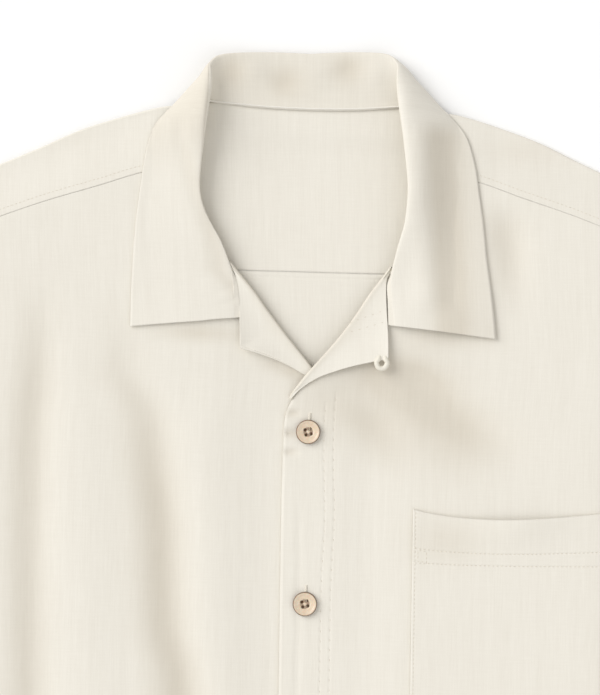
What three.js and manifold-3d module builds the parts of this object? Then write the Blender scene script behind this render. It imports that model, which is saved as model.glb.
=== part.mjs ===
// Camp shirt with short sleeves, laid flat on its back with the front up.
// Millimetres, +Z up, +X towards the wearer's left, +Y from the hem to the collar.
// Shapes are worked out in shirt coordinates, whose y is 0 at the high point of the shoulder,
// and half coordinates, which run outwards from the centre line on either side.
import * as THREE from "three";
import { mergeVertices } from "three/addons/utils/BufferGeometryUtils.js";
import Module from "manifold-3d";

const wasm = await Module();
wasm.setup();

// Driving sizes
const cloth = { wall: 1, seamGap: 0.3, layer: 1.6 };
const body = { length: 785, collarTop: 38.6, halfChest: 290, halfHem: 287, underarm: -300 };
const front = { lapelRadius: 1.3, breakAt: -204 };
const yoke = { backSeam: -115, neckX: 86 };
const sleeve = { cuffTop: [450, -192], cuffBottom: [362, -355] };
const pocket = { left: 74.3, right: 208.3, top: -278.3, bottom: -428, mitre: 16, sag: 6.2, gape: 2 };
const button = { radius: 8.5, height: 2.9, rim: 1.6, dish: 0.7, round: 0.5, hole: 0.9, holeAt: 1.9 };
const buttons = { count: 5, first: -226.5, pitch: 120 };
const loop = { cord: 1.6, out: 8.6, halfWidth: 3.9, x: 48.2 };
const heights = { panel: 2.8, dome: 1.5, neck: 0.6, overLeaf: 1.3, underLeaf: 1.4, floor: 0.5 * cloth.wall };
const originY = 0.5 * (body.length - body.collarTop);

// Outline tables, in half coordinates
const shoulderRows = [
  { x: 84, y: -3 }, { x: 92, y: -2.6 }, { x: 98, y: -1.6 }, { x: 114, y: -5 }, { x: 134, y: -11 },
  { x: 160, y: -20 }, { x: 188, y: -33 }, { x: 215, y: -45 }, { x: 245, y: -58 },
];
const armholeRows = [
  { y: -58, x: 245 }, { y: -92, x: 240.5 }, { y: -131, x: 236.5 }, { y: -166, x: 235 }, { y: -201, x: 238 },
  { y: -233, x: 246 }, { y: -262, x: 260.5 }, { y: -284, x: 276 }, { y: -300, x: 289.5 },
];
const yokeSeamRows = [{ x: 88, y: -44 }, { x: 117, y: -49 }, { x: 146, y: -58.5 }, { x: 188, y: -72 }, { x: 241, y: -92 }];
const neckSeamRows = [{ x: 0, y: -2.1 }, { x: 25, y: -1.6 }, { x: 45, y: -0.6 }, { x: 66, y: 1.2 }, { x: 80, y: 1.6 }];
const rollRows = [
  { y: -115, x: 51.5 }, { y: -129.5, x: 40 }, { y: -142, x: 31.5 }, { y: -155, x: 22 }, { y: -168, x: 11.5 },
  { y: -181, x: 0.5 }, { y: -192, x: -8 }, { y: -204, x: -15 }, { y: -226, x: -16.8 }, { y: -262, x: -17.5 },
];
const lapelEdgeRows = {
  right: [
    { s: 0, x: 51.8, y: -120.5 }, { s: 0.4, x: 52.3, y: -167.9 }, { s: 0.7, x: 25.4, y: -177.2 },
    { s: 0.88, x: 4.6, y: -187.2 }, { s: 1, x: -12.8, y: -205 },
  ],
  left: [
    { s: 0, x: 51.8, y: -120.5 }, { s: 0.25, x: 52, y: -152 }, { s: 0.4, x: 52.6, y: -174.2 }, { s: 0.47, x: 43.5, y: -176.4 },
    { s: 0.72, x: 12.8, y: -184 }, { s: 0.85, x: -0.3, y: -191 }, { s: 1, x: -12.8, y: -205 },
  ],
};
const centreRows = [
  { y: -100, x: 0 }, { y: -125, x: 1 }, { y: -160, x: 2 }, { y: -190, x: 1 }, { y: -226, x: -1.3 },
  { y: -346, x: -3.6 }, { y: -466, x: -5 }, { y: -785, x: -5 },
];

// Where each row of a front panel starts at its inner edge and ends at the armhole or side
const frontRows = [
  { x: 90, y: -45.5, outer: -92 }, { x: 89.5, y: -62, outer: -112 }, { x: 82, y: -82, outer: -131 },
  { x: 69, y: -101, outer: -149 }, { roll: -117, outer: -166 }, { roll: -129, outer: -184 },
  { roll: -142, outer: -201 }, { roll: -155, outer: -217 }, { roll: -168, outer: -233 },
  { roll: -181, outer: -248 }, { roll: -192, outer: -262 }, { roll: -204, outer: -275 },
  { roll: -217, outer: -288 }, { roll: -234, outer: -300 }, { roll: -243, outer: -309 }, { roll: -256, outer: -321 },
];
const underarmTurn = { length: 30, rowsToHem: 16 };

// Soft folds of the top layer: a trough or ridge follows x through the listed rows of y
const folds = [
  { depth: -1.7, width: 13, rows: [{ y: -110, x: -190 }, { y: -300, x: -194 }, { y: -560, x: -187 }, { y: -700, x: -180 }] },
  { depth: -1.9, width: 14, rows: [{ y: -150, x: -139 }, { y: -215, x: -120 }, { y: -300, x: -106 }, { y: -400, x: -92 }, { y: -500, x: -84 }] },
  { depth: 0.6, width: 20, rows: [{ y: -190, x: -160 }, { y: -400, x: -148 }, { y: -640, x: -140 }] },
  { depth: 0.6, width: 22, rows: [{ y: -190, x: -72 }, { y: -400, x: -60 }, { y: -600, x: -52 }] },
  { depth: -1.3, width: 15, rows: [{ y: -430, x: -70 }, { y: -560, x: -62 }, { y: -735, x: -66 }] },
  { depth: -1.2, width: 12, rows: [{ y: -62, x: 134 }, { y: -90, x: 137 }, { y: -150, x: 140 }] },
  { depth: 0.6, width: 30, rows: [{ y: -150, x: 82 }, { y: -185, x: 84 }, { y: -235, x: 92 }] },
  { depth: -1.4, width: 15, rows: [{ y: -450, x: 62 }, { y: -600, x: 74 }, { y: -740, x: 70 }] },
  { depth: -1.6, width: 14, rows: [{ y: -210, x: 226 }, { y: -400, x: 232 }, { y: -600, x: 216 }, { y: -720, x: 212 }] },
  { depth: 0.6, width: 22, rows: [{ y: -455, x: 150 }, { y: -590, x: 146 }, { y: -740, x: 150 }] },
];

// Collar sections from the leading edge round to the centre back. seam, roll and edge are points,
// fall is the control point that shapes the leaf, lean is the way the cloth turns at the roll
// (90 is up, -90 is down) and round is how softly it turns.
const collarRows = [
  { seam: [53, -150.4, 9.2], roll: [57, -151, 9.9], fall: [92, -154, 9.4], edge: [127.5, -158.2, 7.0], lean: 8, round: 1 },
  { seam: [53, -135, 8.8], roll: [56, -134.5, 10.4], fall: [92, -134, 10.6], edge: [126, -133, 7.0], lean: 25, round: 1.2 },
  { seam: [54.4, -119, 8.0], roll: [56.2, -117, 11.6], fall: [93, -113, 11.5], edge: [123.4, -104, 7.0], lean: 55, round: 1.6 },
  { seam: [67.5, -104, 7.8], roll: [61.5, -97, 14.2], fall: [93, -90, 12.3], edge: [121.2, -80, 6.9], lean: 78, round: 3.2 },
  { seam: [80.5, -86, 7.6], roll: [69.4, -77, 17], fall: [94, -68, 13.2], edge: [118.2, -58, 6.9], lean: 85, round: 5 },
  { seam: [89, -62, 7.2], roll: [72.6, -56, 19.5], fall: [95, -46, 13.5], edge: [115, -37, 6.9], lean: 85, round: 6 },
  { seam: [90, -29, 6.2], roll: [69.8, -24, 20.5], fall: [93, -16, 13.5], edge: [109, -17.5, 6.3], lean: 75, round: 6.5 },
  { seam: [83.2, -4, 5.4], roll: [66.6, 2, 20], fall: [87, 8, 12], edge: [99, 1.6, 5.6], lean: 50, round: 6.5 },
  { seam: [78.5, 1.2, 4.1], roll: [66, 15, 18], fall: [82, 22, 8], edge: [93, 4.5, 2.6], lean: 10, round: 6 },
  { seam: [74.5, 2.2, 3.6], roll: [65.7, 21, 15.5], fall: [80, 26, 3.5], edge: [87, 3.5, 0.7], lean: -5, round: 5 },
  { seam: [70, 2.2, 3.3], roll: [64.6, 26.5, 12.5], fall: [75, 27, 0.6], edge: [79, -5, 0.5], lean: -20, round: 3.4 },
  { seam: [56, 0.6, 3.3], roll: [56, 35.8, 7.4], fall: [62, 30, 0.8], edge: [60, -8.6, 0.5], lean: -58, round: 2.6 },
  { seam: [29, -1.5, 3.3], roll: [30, 38.2, 3.4], fall: [31, 22, 0.5], edge: [31, -9, 0.5], lean: -90, round: 2.4 },
  { seam: [0, -2.1, 3.3], roll: [0, 37.1, 3.2], fall: [0, 22, 0.5], edge: [0, -9, 0.5], lean: -90, round: 2.4 },
];
const collarSteps = { perRow: 2, stand: [0, 0.3, 0.6, 0.84, 1], leaf: [0.12, 0.28, 0.48, 0.7, 0.86, 1] };
const rollShift = { most: -4.5, from: -105, to: -60 };

// Small helpers
const clamp = (x, low, high) => Math.min(high, Math.max(low, x));
const mix = (a, b, t) => a + (b - a) * t;
const smooth = (a, b, x) => {
  const t = clamp((x - a) / (b - a), 0, 1);
  return t * t * (3 - 2 * t);
};
const steps = (n) => Array.from({ length: n + 1 }, (_, i) => i / n);

// A smooth function through a table's rows, from one column to another
function through(rows, key, value) {
  const k = rows.map((r) => r[key]);
  const v = rows.map((r) => r[value]);
  const last = k.length - 1;
  const rising = k[last] > k[0];
  const slope = k.map((_, i) => {
    const a = Math.max(i - 1, 0);
    const b = Math.min(i + 1, last);
    return (v[b] - v[a]) / (k[b] - k[a]);
  });
  return (at) => {
    const x = clamp(at, Math.min(k[0], k[last]), Math.max(k[0], k[last]));
    let i = 0;
    while (i < last - 1 && (rising ? x > k[i + 1] : x < k[i + 1])) i++;
    const span = k[i + 1] - k[i];
    const t = (x - k[i]) / span;
    const t2 = t * t;
    const t3 = t2 * t;
    return (
      (2 * t3 - 3 * t2 + 1) * v[i] + (t3 - 2 * t2 + t) * span * slope[i] +
      (3 * t2 - 2 * t3) * v[i + 1] + (t3 - t2) * span * slope[i + 1]
    );
  };
}

// The same in straight lines, for an edge with corners
function along(rows, key, value) {
  return (at) => {
    const i = clamp(rows.findIndex((r) => r[key] >= at), 1, rows.length - 1);
    return mix(rows[i - 1][value], rows[i][value], clamp((at - rows[i - 1][key]) / (rows[i][key] - rows[i - 1][key]), 0, 1));
  };
}

const shoulderY = through(shoulderRows, "x", "y");
const armholeX = through(armholeRows, "y", "x");
const yokeSeamY = through(yokeSeamRows, "x", "y");
const neckSeamY = through(neckSeamRows, "x", "y");
const rollX = through(rollRows, "y", "x");
const centreX = through(centreRows, "y", "x");
const sideX = (y) => mix(body.halfChest, body.halfHem, (body.underarm - y) / (body.length + body.underarm));
for (const fold of folds) fold.path = through(fold.rows, "y", "x");

// The whole garment lies a little askew: its right side is lower, and its centre line wanders
function lay([x, y, z]) {
  const askew = smooth(-700, -150, y) * (1 - smooth(0, 35, y));
  const wander = Math.abs(x) < body.halfChest ? centreX(y) * (1 - smooth(0, 40, y + 100)) : 0;
  return [x + wander * (1 - smooth(200, 280, Math.abs(x))), y - 0.029 * x * askew, z];
}

// How far a point lies inside the side of the body or the underside of a sleeve
function sideDistance(half, y) {
  if (y < body.underarm && half < body.halfChest) return sideX(y) - half;
  const [dx, dy] = [sleeve.cuffBottom[0] - body.halfChest, sleeve.cuffBottom[1] - body.underarm];
  const along = ((half - body.halfChest) * dx + (y - body.underarm) * dy) / Math.hypot(dx, dy);
  const across = ((half - body.halfChest) * -dy + (y - body.underarm) * dx) / Math.hypot(dx, dy);
  return along > 0 ? across : Math.hypot(half - body.halfChest, y - body.underarm);
}

function topEdgeY(half) {
  if (half < 245) return shoulderY(half);
  const [x, y] = sleeve.cuffTop;
  return mix(-58, y, (half - 245) / (x - 245));
}

// Height of the middle of the top layer's wall
function topZ(x, y) {
  const half = Math.abs(x);
  const inside = smooth(0, 60, sideDistance(half, y)) * smooth(0, 45, topEdgeY(half) - y);
  const hem = mix(0.4, 1, smooth(-body.length, -body.length + 140, y));
  const neck = Math.exp(-((half / 120) ** 2) - ((y + 90) / 100) ** 2);
  const overLeaf = heights.overLeaf * smooth(-62, -22, y) * (1 - smooth(100, 136, half));
  let z = heights.dome * hem + heights.neck * neck;
  for (const { rows, path, width, depth } of folds) {
    const ends = smooth(rows[0].y + 5, rows[0].y - 60, y) * smooth(rows.at(-1).y, rows.at(-1).y + 90, y);
    if (ends > 0) z += depth * ends * Math.exp(-(((x - path(y)) / width) ** 2));
  }
  return heights.panel + overLeaf + inside * z;
}

// The wearer's left front lies over the right one, and over its lapel where they cross
function frontZ(side, x, y) {
  const over = 1 - smooth(20, 48, x);
  const crossing = 3.1 * Math.exp(-(((x - 1) / 19) ** 2) - ((y + 189) / 15) ** 2);
  return topZ(x, y) + (side > 0 ? over * cloth.layer + crossing : 0);
}

// The back of the yoke lifts over the collar leaf that lies under it
function yokeBackZ(x, y) {
  const half = Math.abs(x);
  return heights.floor + heights.underLeaf * smooth(-34, -16, y) * (1 - smooth(100, 124, half));
}

// A closed wall of even thickness about a grid of mid-surface points; a ring closes on itself
function wall(grid, { thickness = cloth.wall, ring = false } = {}) {
  const rows = grid.length;
  const cols = grid[0].length;
  const p = grid.map((line) => line.map((q) => new THREE.Vector3(...lay(q))));
  const at = (i, j) => p[clamp(i, 0, rows - 1)][ring ? (j + cols) % cols : clamp(j, 0, cols - 1)];
  const positions = [];
  for (const sign of [1, -1])
    for (let i = 0; i < rows; i++)
      for (let j = 0; j < cols; j++) {
        const a = at(i + 1, j).clone().sub(at(i - 1, j));
        const b = at(i, j + 1).clone().sub(at(i, j - 1));
        const normal = a.cross(b).normalize();
        const q = at(i, j).clone().addScaledVector(normal, 0.5 * sign * thickness);
        positions.push(q.x, q.y, q.z);
      }
  const index = [];
  const face = (a, b, c, d) => index.push(a, b, c, a, c, d);
  const top = (i, j) => i * cols + (j % cols);
  const under = (i, j) => rows * cols + top(i, j);
  const spans = ring ? cols : cols - 1;
  for (let i = 0; i < rows - 1; i++)
    for (let j = 0; j < spans; j++) {
      face(top(i, j), top(i + 1, j), top(i + 1, j + 1), top(i, j + 1));
      face(under(i, j), under(i, j + 1), under(i + 1, j + 1), under(i + 1, j));
    }
  for (let j = 0; j < spans; j++) {
    face(top(0, j), top(0, j + 1), under(0, j + 1), under(0, j));
    face(top(rows - 1, j), under(rows - 1, j), under(rows - 1, j + 1), top(rows - 1, j + 1));
  }
  if (!ring)
    for (let i = 0; i < rows - 1; i++) {
      face(top(i, 0), under(i, 0), under(i + 1, 0), top(i + 1, 0));
      face(top(i, cols - 1), top(i + 1, cols - 1), under(i + 1, cols - 1), under(i, cols - 1));
    }
  return facingOut(positions, index);
}

// Geometry from positions and faces, with the faces turned round if they point inwards
function facingOut(positions, index) {
  let volume = 0;
  const v = (i) => new THREE.Vector3().fromArray(positions, 3 * index[i]);
  for (let i = 0; i < index.length; i += 3) volume += v(i).dot(v(i + 1).cross(v(i + 2)));
  if (volume < 0) index.reverse();
  const geometry = new THREE.BufferGeometry();
  geometry.setAttribute("position", new THREE.Float32BufferAttribute(positions, 3));
  geometry.setIndex(index);
  return geometry;
}

// Height of a grid's facets above a point of the plan, before the garment is laid askew
function facetZ(grid, x, y) {
  for (let i = 0; i < grid.length - 1; i++)
    for (let j = 0; j < grid[0].length - 1; j++)
      for (const [a, b, c] of [
        [grid[i][j], grid[i + 1][j], grid[i + 1][j + 1]],
        [grid[i][j], grid[i + 1][j + 1], grid[i][j + 1]],
      ]) {
        const area = (b[0] - a[0]) * (c[1] - a[1]) - (c[0] - a[0]) * (b[1] - a[1]);
        if (Math.abs(area) < 1e-9) continue;
        const u = ((x - a[0]) * (c[1] - a[1]) - (c[0] - a[0]) * (y - a[1])) / area;
        const v = ((b[0] - a[0]) * (y - a[1]) - (x - a[0]) * (b[1] - a[1])) / area;
        if (u >= -1e-6 && v >= -1e-6 && u + v <= 1 + 1e-6) return a[2] + u * (b[2] - a[2]) + v * (c[2] - a[2]);
      }
  throw new Error(`no facet at ${x}, ${y}`);
}

// A point a little way round a fold from the top layer to the layer beneath: turn runs from 0 to 1
function roundFold([x, y], [outX, outY], top, bottom, turn) {
  const radius = 0.5 * (top - bottom);
  const reach = radius * (Math.sin(Math.PI * turn) - 1);
  return [x + outX * reach, y + outY * reach, bottom + radius * (1 + Math.cos(Math.PI * turn))];
}

// Front panels: rows run from the inner edge, over the panel, and round the side fold to the back
function frontGrid(side) {
  const across = [0, 0.035, 0.08, 0.14, 0.2, 0.26, 0.32, 0.38, 0.44, 0.5, 0.56, 0.63, 0.7, 0.78, 0.86, 0.94];
  const turns = [0, 0.3, 0.6, 0.85, 1];
  const offset = 0.5 * cloth.wall + front.lapelRadius + 2 * cloth.seamGap;
  const rows = frontRows.map((row) => {
    if (!("roll" in row)) return { inner: [row.x, row.y], outerY: row.outer };
    const clear = row.roll < front.breakAt ? 0 : offset;
    return { inner: [rollX(row.roll) + clear * 0.8, row.roll - clear * 0.6], outerY: row.outer };
  });
  const last = rows.at(-1);
  for (const t of steps(underarmTurn.rowsToHem).slice(1))
    rows.push({ inner: [rollX(mix(last.inner[1], -body.length, t)), mix(last.inner[1], -body.length, t)], outerY: mix(last.outerY, -body.length, t) });
  return rows.map(({ inner, outerY }, k) => {
    const onSide = outerY < body.underarm - 1;
    const outerX = onSide ? sideX(outerY) - 0.5 * cloth.wall : armholeX(outerY) - 0.5 * cloth.seamGap;
    const top = heights.panel;
    const turned = Math.max(onSide ? smooth(0, underarmTurn.length, body.underarm - outerY) : 0, 1e-3);
    const radius = (0.5 * (top - heights.floor)) / turned;
    const foldX = outerX - radius * Math.sin(Math.PI * Math.min(turned, 0.5));
    const line = across.map((u) => {
      const x = side * mix(inner[0], foldX, u);
      const y = k === 0 ? yokeSeamY(Math.abs(x)) - 0.5 * cloth.seamGap : mix(inner[1], outerY, u);
      return [x, y, frontZ(side, x, y)];
    });
    for (const w of turns) {
      const angle = Math.PI * w * turned;
      const x = side * (foldX + radius * Math.sin(angle));
      const z = (onSide ? top : frontZ(side, x, outerY)) - radius * (1 - Math.cos(angle));
      line.push([x, outerY, Math.max(z, heights.floor)]);
    }
    return line;
  });
}

// The lapel is the facing turned out over the front: each row rolls over and runs to the free edge
function lapelGrid(side) {
  const edgeRows = side > 0 ? lapelEdgeRows.left : lapelEdgeRows.right;
  const [edgeX, edgeY] = [along(edgeRows, "s", "x"), along(edgeRows, "s", "y")];
  const last = side > 0 ? 0.94 : 0.87;
  const rows = [...steps(5).slice(0, -1).map((t) => 0.4 * t), ...steps(10).map((t) => mix(0.4, last, t))];
  const r = front.lapelRadius;
  return rows.map((s) => {
    const y = mix(-119, front.breakAt, s);
    const roll = [rollX(y), y];
    const edge = [edgeX(s), edgeY(s)];
    const width = Math.hypot(edge[0] - roll[0], edge[1] - roll[1]);
    const out = [(edge[0] - roll[0]) / width, (edge[1] - roll[1]) / width];
    const base = frontZ(side, side * (roll[0] + 2 * out[0]), roll[1] + 2 * out[1]);
    const narrow = Math.min(r, 0.3 * width);
    const line = [1, 0.75, 0.5, 0.25, 0].map((turn) => {
      const [x, yy, z] = roundFold(roll, [-out[0], -out[1]], base + 2 * r, base, turn);
      const inset = 0.5 * cloth.wall;
      return [side * (x + inset * out[0]), yy + inset * out[1], z];
    });
    const start = narrow + 0.5 * cloth.wall;
    const lift = 3.4 * Math.exp(-(((s - 0.46) / 0.26) ** 2));
    for (const u of [0.2, 0.4, 0.6, 0.8, 1]) {
      const across = mix(start, width - 0.3, u);
      const x = side * (roll[0] + across * out[0]);
      const yy = roll[1] + across * out[1];
      const under = frontZ(side, x, yy);
      line.push([x, yy, Math.max(under + cloth.layer, mix(base + 2 * r, under + cloth.layer, u)) + lift * u * u]);
    }
    return line;
  });
}

// Yoke: one piece from the front seam on one side, over the shoulder, across the back and down again.
// Lines run from the neckline to the armhole or to the back seam.
function yokeGrid() {
  const across = steps(11);
  const overShoulder = (x, past) => {
    const top = topZ(x, shoulderY(x) - 4);
    const bottom = yokeBackZ(x, shoulderY(x) - 4);
    const radius = 0.5 * (top - bottom);
    const quarter = 0.5 * Math.PI * radius;
    if (Math.abs(past) <= quarter) {
      const turn = 0.5 - past / (2 * quarter);
      const [, y, z] = roundFold([x, shoulderY(x) - 0.5 * cloth.wall], [0, 1], top, bottom, turn);
      return [x, y, z];
    }
    const y = shoulderY(x) - 0.5 * cloth.wall - radius - (Math.abs(past) - quarter);
    return [x, y, past > 0 ? topZ(x, y) : yokeBackZ(x, y)];
  };
  const armY = (x) => through(armholeRows.map((r) => ({ x: -r.y, y: r.x })), "x", "y")(-x);
  const half = [];
  for (const share of [1, 0.75, 0.5, 0.25]) {
    half.push(across.map((u) => {
      const guess = mix(yoke.neckX + 2.5 * share, 243, u);
      const y = mix(shoulderY(guess) - 4, yokeSeamY(guess) + cloth.seamGap, share);
      const x = mix(yoke.neckX + 2.5 * share, armY(y) - 0.5 * cloth.seamGap, u);
      const yy = mix(shoulderY(x) - 4, yokeSeamY(x) + cloth.seamGap, share);
      return [x, yy, topZ(x, yy)];
    }));
  }
  for (const past of [2.6, 1.3, 0, -1.3, -2.6]) {
    half.push(across.map((u) => overShoulder(mix(yoke.neckX, 245 - 2 * cloth.seamGap, u), past)));
  }
  const backRows = [
    { neck: 83, neckY: -6.4, outerY: -73 }, { neck: 78.5, neckY: -4, outerY: -93 }, { neck: 72, neckY: -1, corner: true },
    { neck: 60, neckY: 2.2, outerX: 200 }, { neck: 48, neckY: 3.4, outerX: 162 }, { neck: 36, neckY: 3, outerX: 122 },
    { neck: 24, neckY: 2.4, outerX: 80 }, { neck: 12, neckY: 2, outerX: 40 }, { neck: 0, neckY: 1.9, outerX: 0 },
  ];
  for (const { neck, neckY, outerY, outerX, corner } of backRows) {
    const endY = outerY ?? yoke.backSeam;
    const endX = corner || outerY ? armholeX(endY) - 0.5 * cloth.seamGap : outerX;
    half.push(across.map((u) => {
      const x = mix(neck, endX, u);
      const y = mix(neckY, endY, u);
      return [x, y, yokeBackZ(x, y)];
    }));
  }
  const mirrored = half.slice(0, -1).reverse().map((line) => line.map(([x, y, z]) => [-x, y, z]));
  return [...half, ...mirrored];
}

// Back: flat on the surface, from the yoke seam to the hem
function backGrid() {
  const rows = frontRows.map((row) => row.outer).filter((y) => y < yoke.backSeam && y > body.underarm);
  const lines = [yoke.backSeam, ...rows, body.underarm + 1].concat(steps(8).map((t) => mix(-306, -body.length, t)));
  return lines.map((y, k) => {
    const reach = y > body.underarm ? armholeX(y) - 0.5 * cloth.seamGap : sideX(y) - 2.3;
    const edge = Math.min(reach, body.halfChest - 2.7);
    return steps(8).map((u) => [mix(-edge, edge, u), y - (k === 0 ? cloth.seamGap : 0), heights.floor]);
  });
}

// Sleeve: a flattened tube from the armhole to the cuff
function sleeveGrid(side) {
  const turns = [0.25, 0.5, 0.75];
  const samples = frontRows.map((row) => row.outer).filter((y) => y > body.underarm);
  const ys = [-66, -76, ...samples];
  return steps(8).map((v) => {
    const plan = (y) => {
      const w = (y + 58) / (body.underarm + 58);
      const from = [armholeX(y) + cloth.seamGap, y];
      const to = [mix(sleeve.cuffTop[0], sleeve.cuffBottom[0], w), mix(sleeve.cuffTop[1], sleeve.cuffBottom[1], w)];
      return [mix(from[0], to[0], v), mix(from[1], to[1], v)];
    };
    const [upper, lower] = [plan(-58), plan(body.underarm)];
    const turn = (w, out, p) => roundFold(p, out, heights.panel, heights.floor, w);
    const outward = (p, q, sign) => {
      const far = Math.hypot(q[0] - p[0], q[1] - p[1]);
      return [(sign * (p[1] - q[1])) / far, (sign * (q[0] - p[0])) / far];
    };
    const outUpper = outward([245, -58], sleeve.cuffTop, 1);
    const outLower = outward([body.halfChest, body.underarm], sleeve.cuffBottom, -1);
    const line = ys.map((y) => [...plan(y), topZ(...plan(y))]);
    line.push(...turns.map((w) => turn(w, outLower, lower)));
    line.push(...[...ys].reverse().map((y) => [...plan(y), heights.floor]));
    line.push(...[...turns].reverse().map((w) => turn(w, outUpper, upper)));
    return line.map(([x, y, z]) => [side * x, y, z]);
  });
}

// Collar: stand and leaf in one band, from one leading edge round the back of the neck to the other
function collarGrid() {
  const at = (rows, t) => {
    const i = clamp(Math.floor(t), 0, rows.length - 2);
    const p = [i - 1, i, i + 1, i + 2].map((k) => rows[clamp(k, 0, rows.length - 1)]);
    const f = t - i;
    const value = (a, b, c, d) =>
      0.5 * (2 * b + (c - a) * f + (2 * a - 5 * b + 4 * c - d) * f * f + (3 * b - 3 * c + d - a) * f * f * f);
    return Array.isArray(p[0]) ? p[0].map((_, k) => value(...p.map((q) => q[k]))) : value(...p);
  };
  const column = (name, t) => at(collarRows.map((r) => r[name]), t);
  const cubic = (a, b, c, d, t) => {
    const m = 1 - t;
    return m * m * m * a + 3 * m * m * t * b + 3 * m * t * t * c + t * t * t * d;
  };
  const section = (t, side) => {
    const seam = column("seam", t);
    const roll = column("roll", t);
    const fall = column("fall", t);
    const edge = column("edge", t);
    const lean = THREE.MathUtils.degToRad(column("lean", t));
    const round = column("round", t);
    const out = [fall[0] - roll[0], fall[1] - roll[1]];
    const far = Math.hypot(...out) || 1;
    const turn = [(out[0] / far) * Math.cos(lean), (out[1] / far) * Math.cos(lean), Math.sin(lean)];
    const before = roll.map((x, k) => x - turn[k] * round);
    const after = roll.map((x, k) => x + turn[k] * round);
    const rise = seam.map((x, k) => mix(x, roll[k], 0.4));
    const stand = collarSteps.stand.map((u) => seam.map((_, k) => cubic(seam[k], rise[k], before[k], roll[k], u)));
    const leaf = collarSteps.leaf.map((u) => roll.map((_, k) => cubic(roll[k], after[k], fall[k], edge[k], u)));
    return [...stand, ...leaf].map(([x, y, z], j) => {
      const near = 1 - Math.abs(j - 4) / 6;
      const shift = rollShift.most * smooth(rollShift.from, rollShift.to, y) * near * smooth(30, 66, x);
      const rests = x > yoke.neckX - 1.5 && y < shoulderY(x) - 2;
      return [side * x + shift, y, Math.max(z, rests ? topZ(side * x, y) + cloth.layer : heights.floor)];
    });
  };
  const count = (collarRows.length - 1) * collarSteps.perRow;
  const half = steps(count).map((t) => t * (collarRows.length - 1));
  return [...half.map((t) => section(t, -1)), ...half.slice(0, -1).reverse().map((t) => section(t, 1))];
}

// Patch pocket: made from the front panel's own points, moved out
function pocketGrid(panel) {
  const rows = [0, 0.1, 0.22, 0.36, 0.5, 0.64, 0.78, 0.9, 1];
  return rows.map((v) => {
    const y = mix(pocket.top, pocket.bottom, v);
    const cut = Math.max(0, pocket.bottom + pocket.mitre - y);
    return steps(9).map((u) => {
      const x = mix(pocket.left + cut, pocket.right - cut, u);
      const gape = pocket.gape * Math.exp(-(((u - 0.55) / 0.22) ** 2) - (v / 0.12) ** 2);
      const sag = -pocket.sag * Math.sin(Math.PI * u ** 0.8) * (1 - smooth(0, 0.25, v));
      return [x, y + sag, facetZ(panel, x, y + sag) + cloth.layer + gape];
    });
  });
}

// Sewn-through button: a dished disc with a raised rim and four holes
function buttonGeometry() {
  const { radius, height, rim, dish, round, hole, holeAt } = button;
  const inner = radius - rim;
  const profile = [
    [0, 0], [radius - round, 0], [radius, round], [radius, height - round], [radius - round, height],
    [inner, height], [inner - dish, height - dish], [0, height - dish],
  ].map(([x, y]) => new THREE.Vector2(x, y));
  let disc = solid(new THREE.LatheGeometry(profile, 32).rotateX(0.5 * Math.PI));
  for (const [x, y] of [[1, 1], [1, -1], [-1, 1], [-1, -1]])
    disc = disc.subtract(wasm.Manifold.cylinder(3 * height, hole, hole, 8).translate([x * holeAt, y * holeAt, -height]));
  const mesh = disc.getMesh();
  return facingOut(Array.from(mesh.vertProperties), Array.from(mesh.triVerts));
}

function solid(geometry) {
  const bare = geometry.clone();
  bare.deleteAttribute("normal");
  bare.deleteAttribute("uv");
  const merged = mergeVertices(bare, 1e-4);
  const whole = [];
  const ix = merged.index.array;
  for (let i = 0; i < ix.length; i += 3)
    if (ix[i] !== ix[i + 1] && ix[i + 1] !== ix[i + 2] && ix[i] !== ix[i + 2]) whole.push(ix[i], ix[i + 1], ix[i + 2]);
  return new wasm.Manifold(new wasm.Mesh({
    numProp: 3, vertProperties: new Float32Array(merged.attributes.position.array), triVerts: new Uint32Array(whole),
  }));
}

// Button loop: a turned cord sewn under the lower edge of the wearer's left lapel
function loopGeometry(z) {
  const { cord, out, halfWidth, x } = loop;
  const top = -175.2;
  const path = [
    [-2.1, 1.2], [-halfWidth, -2.4], [-halfWidth * 0.8, -out * 0.75], [0, -out],
    [halfWidth * 0.8, -out * 0.75], [halfWidth, -2.4], [2.1, 1.2],
  ].map(([dx, dy]) => new THREE.Vector3(...lay([x + dx, top + dy, z])));
  const section = new THREE.Shape().absarc(0, 0, cord, 0, 2 * Math.PI);
  const extrudePath = new THREE.CatmullRomCurve3(path);
  return new THREE.ExtrudeGeometry(section, { steps: 16, curveSegments: 4, bevelEnabled: false, extrudePath });
}

const shirt = new THREE.Group();
shirt.position.set(0, originY, 0);
const finish = {
  cloth: { color: 0xeee9dc, roughness: 0.85, metalness: 0 },
  facing: { color: 0xf2ede0, roughness: 0.85, metalness: 0 },
  button: { color: 0xd9c3a6, roughness: 0.4, metalness: 0 },
};

function add(name, geometry, look, position = [0, 0, 0]) {
  const mesh = new THREE.Mesh(geometry, new THREE.MeshStandardMaterial(look));
  mesh.name = name;
  mesh.position.set(...position);
  shirt.add(mesh);
}

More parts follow.
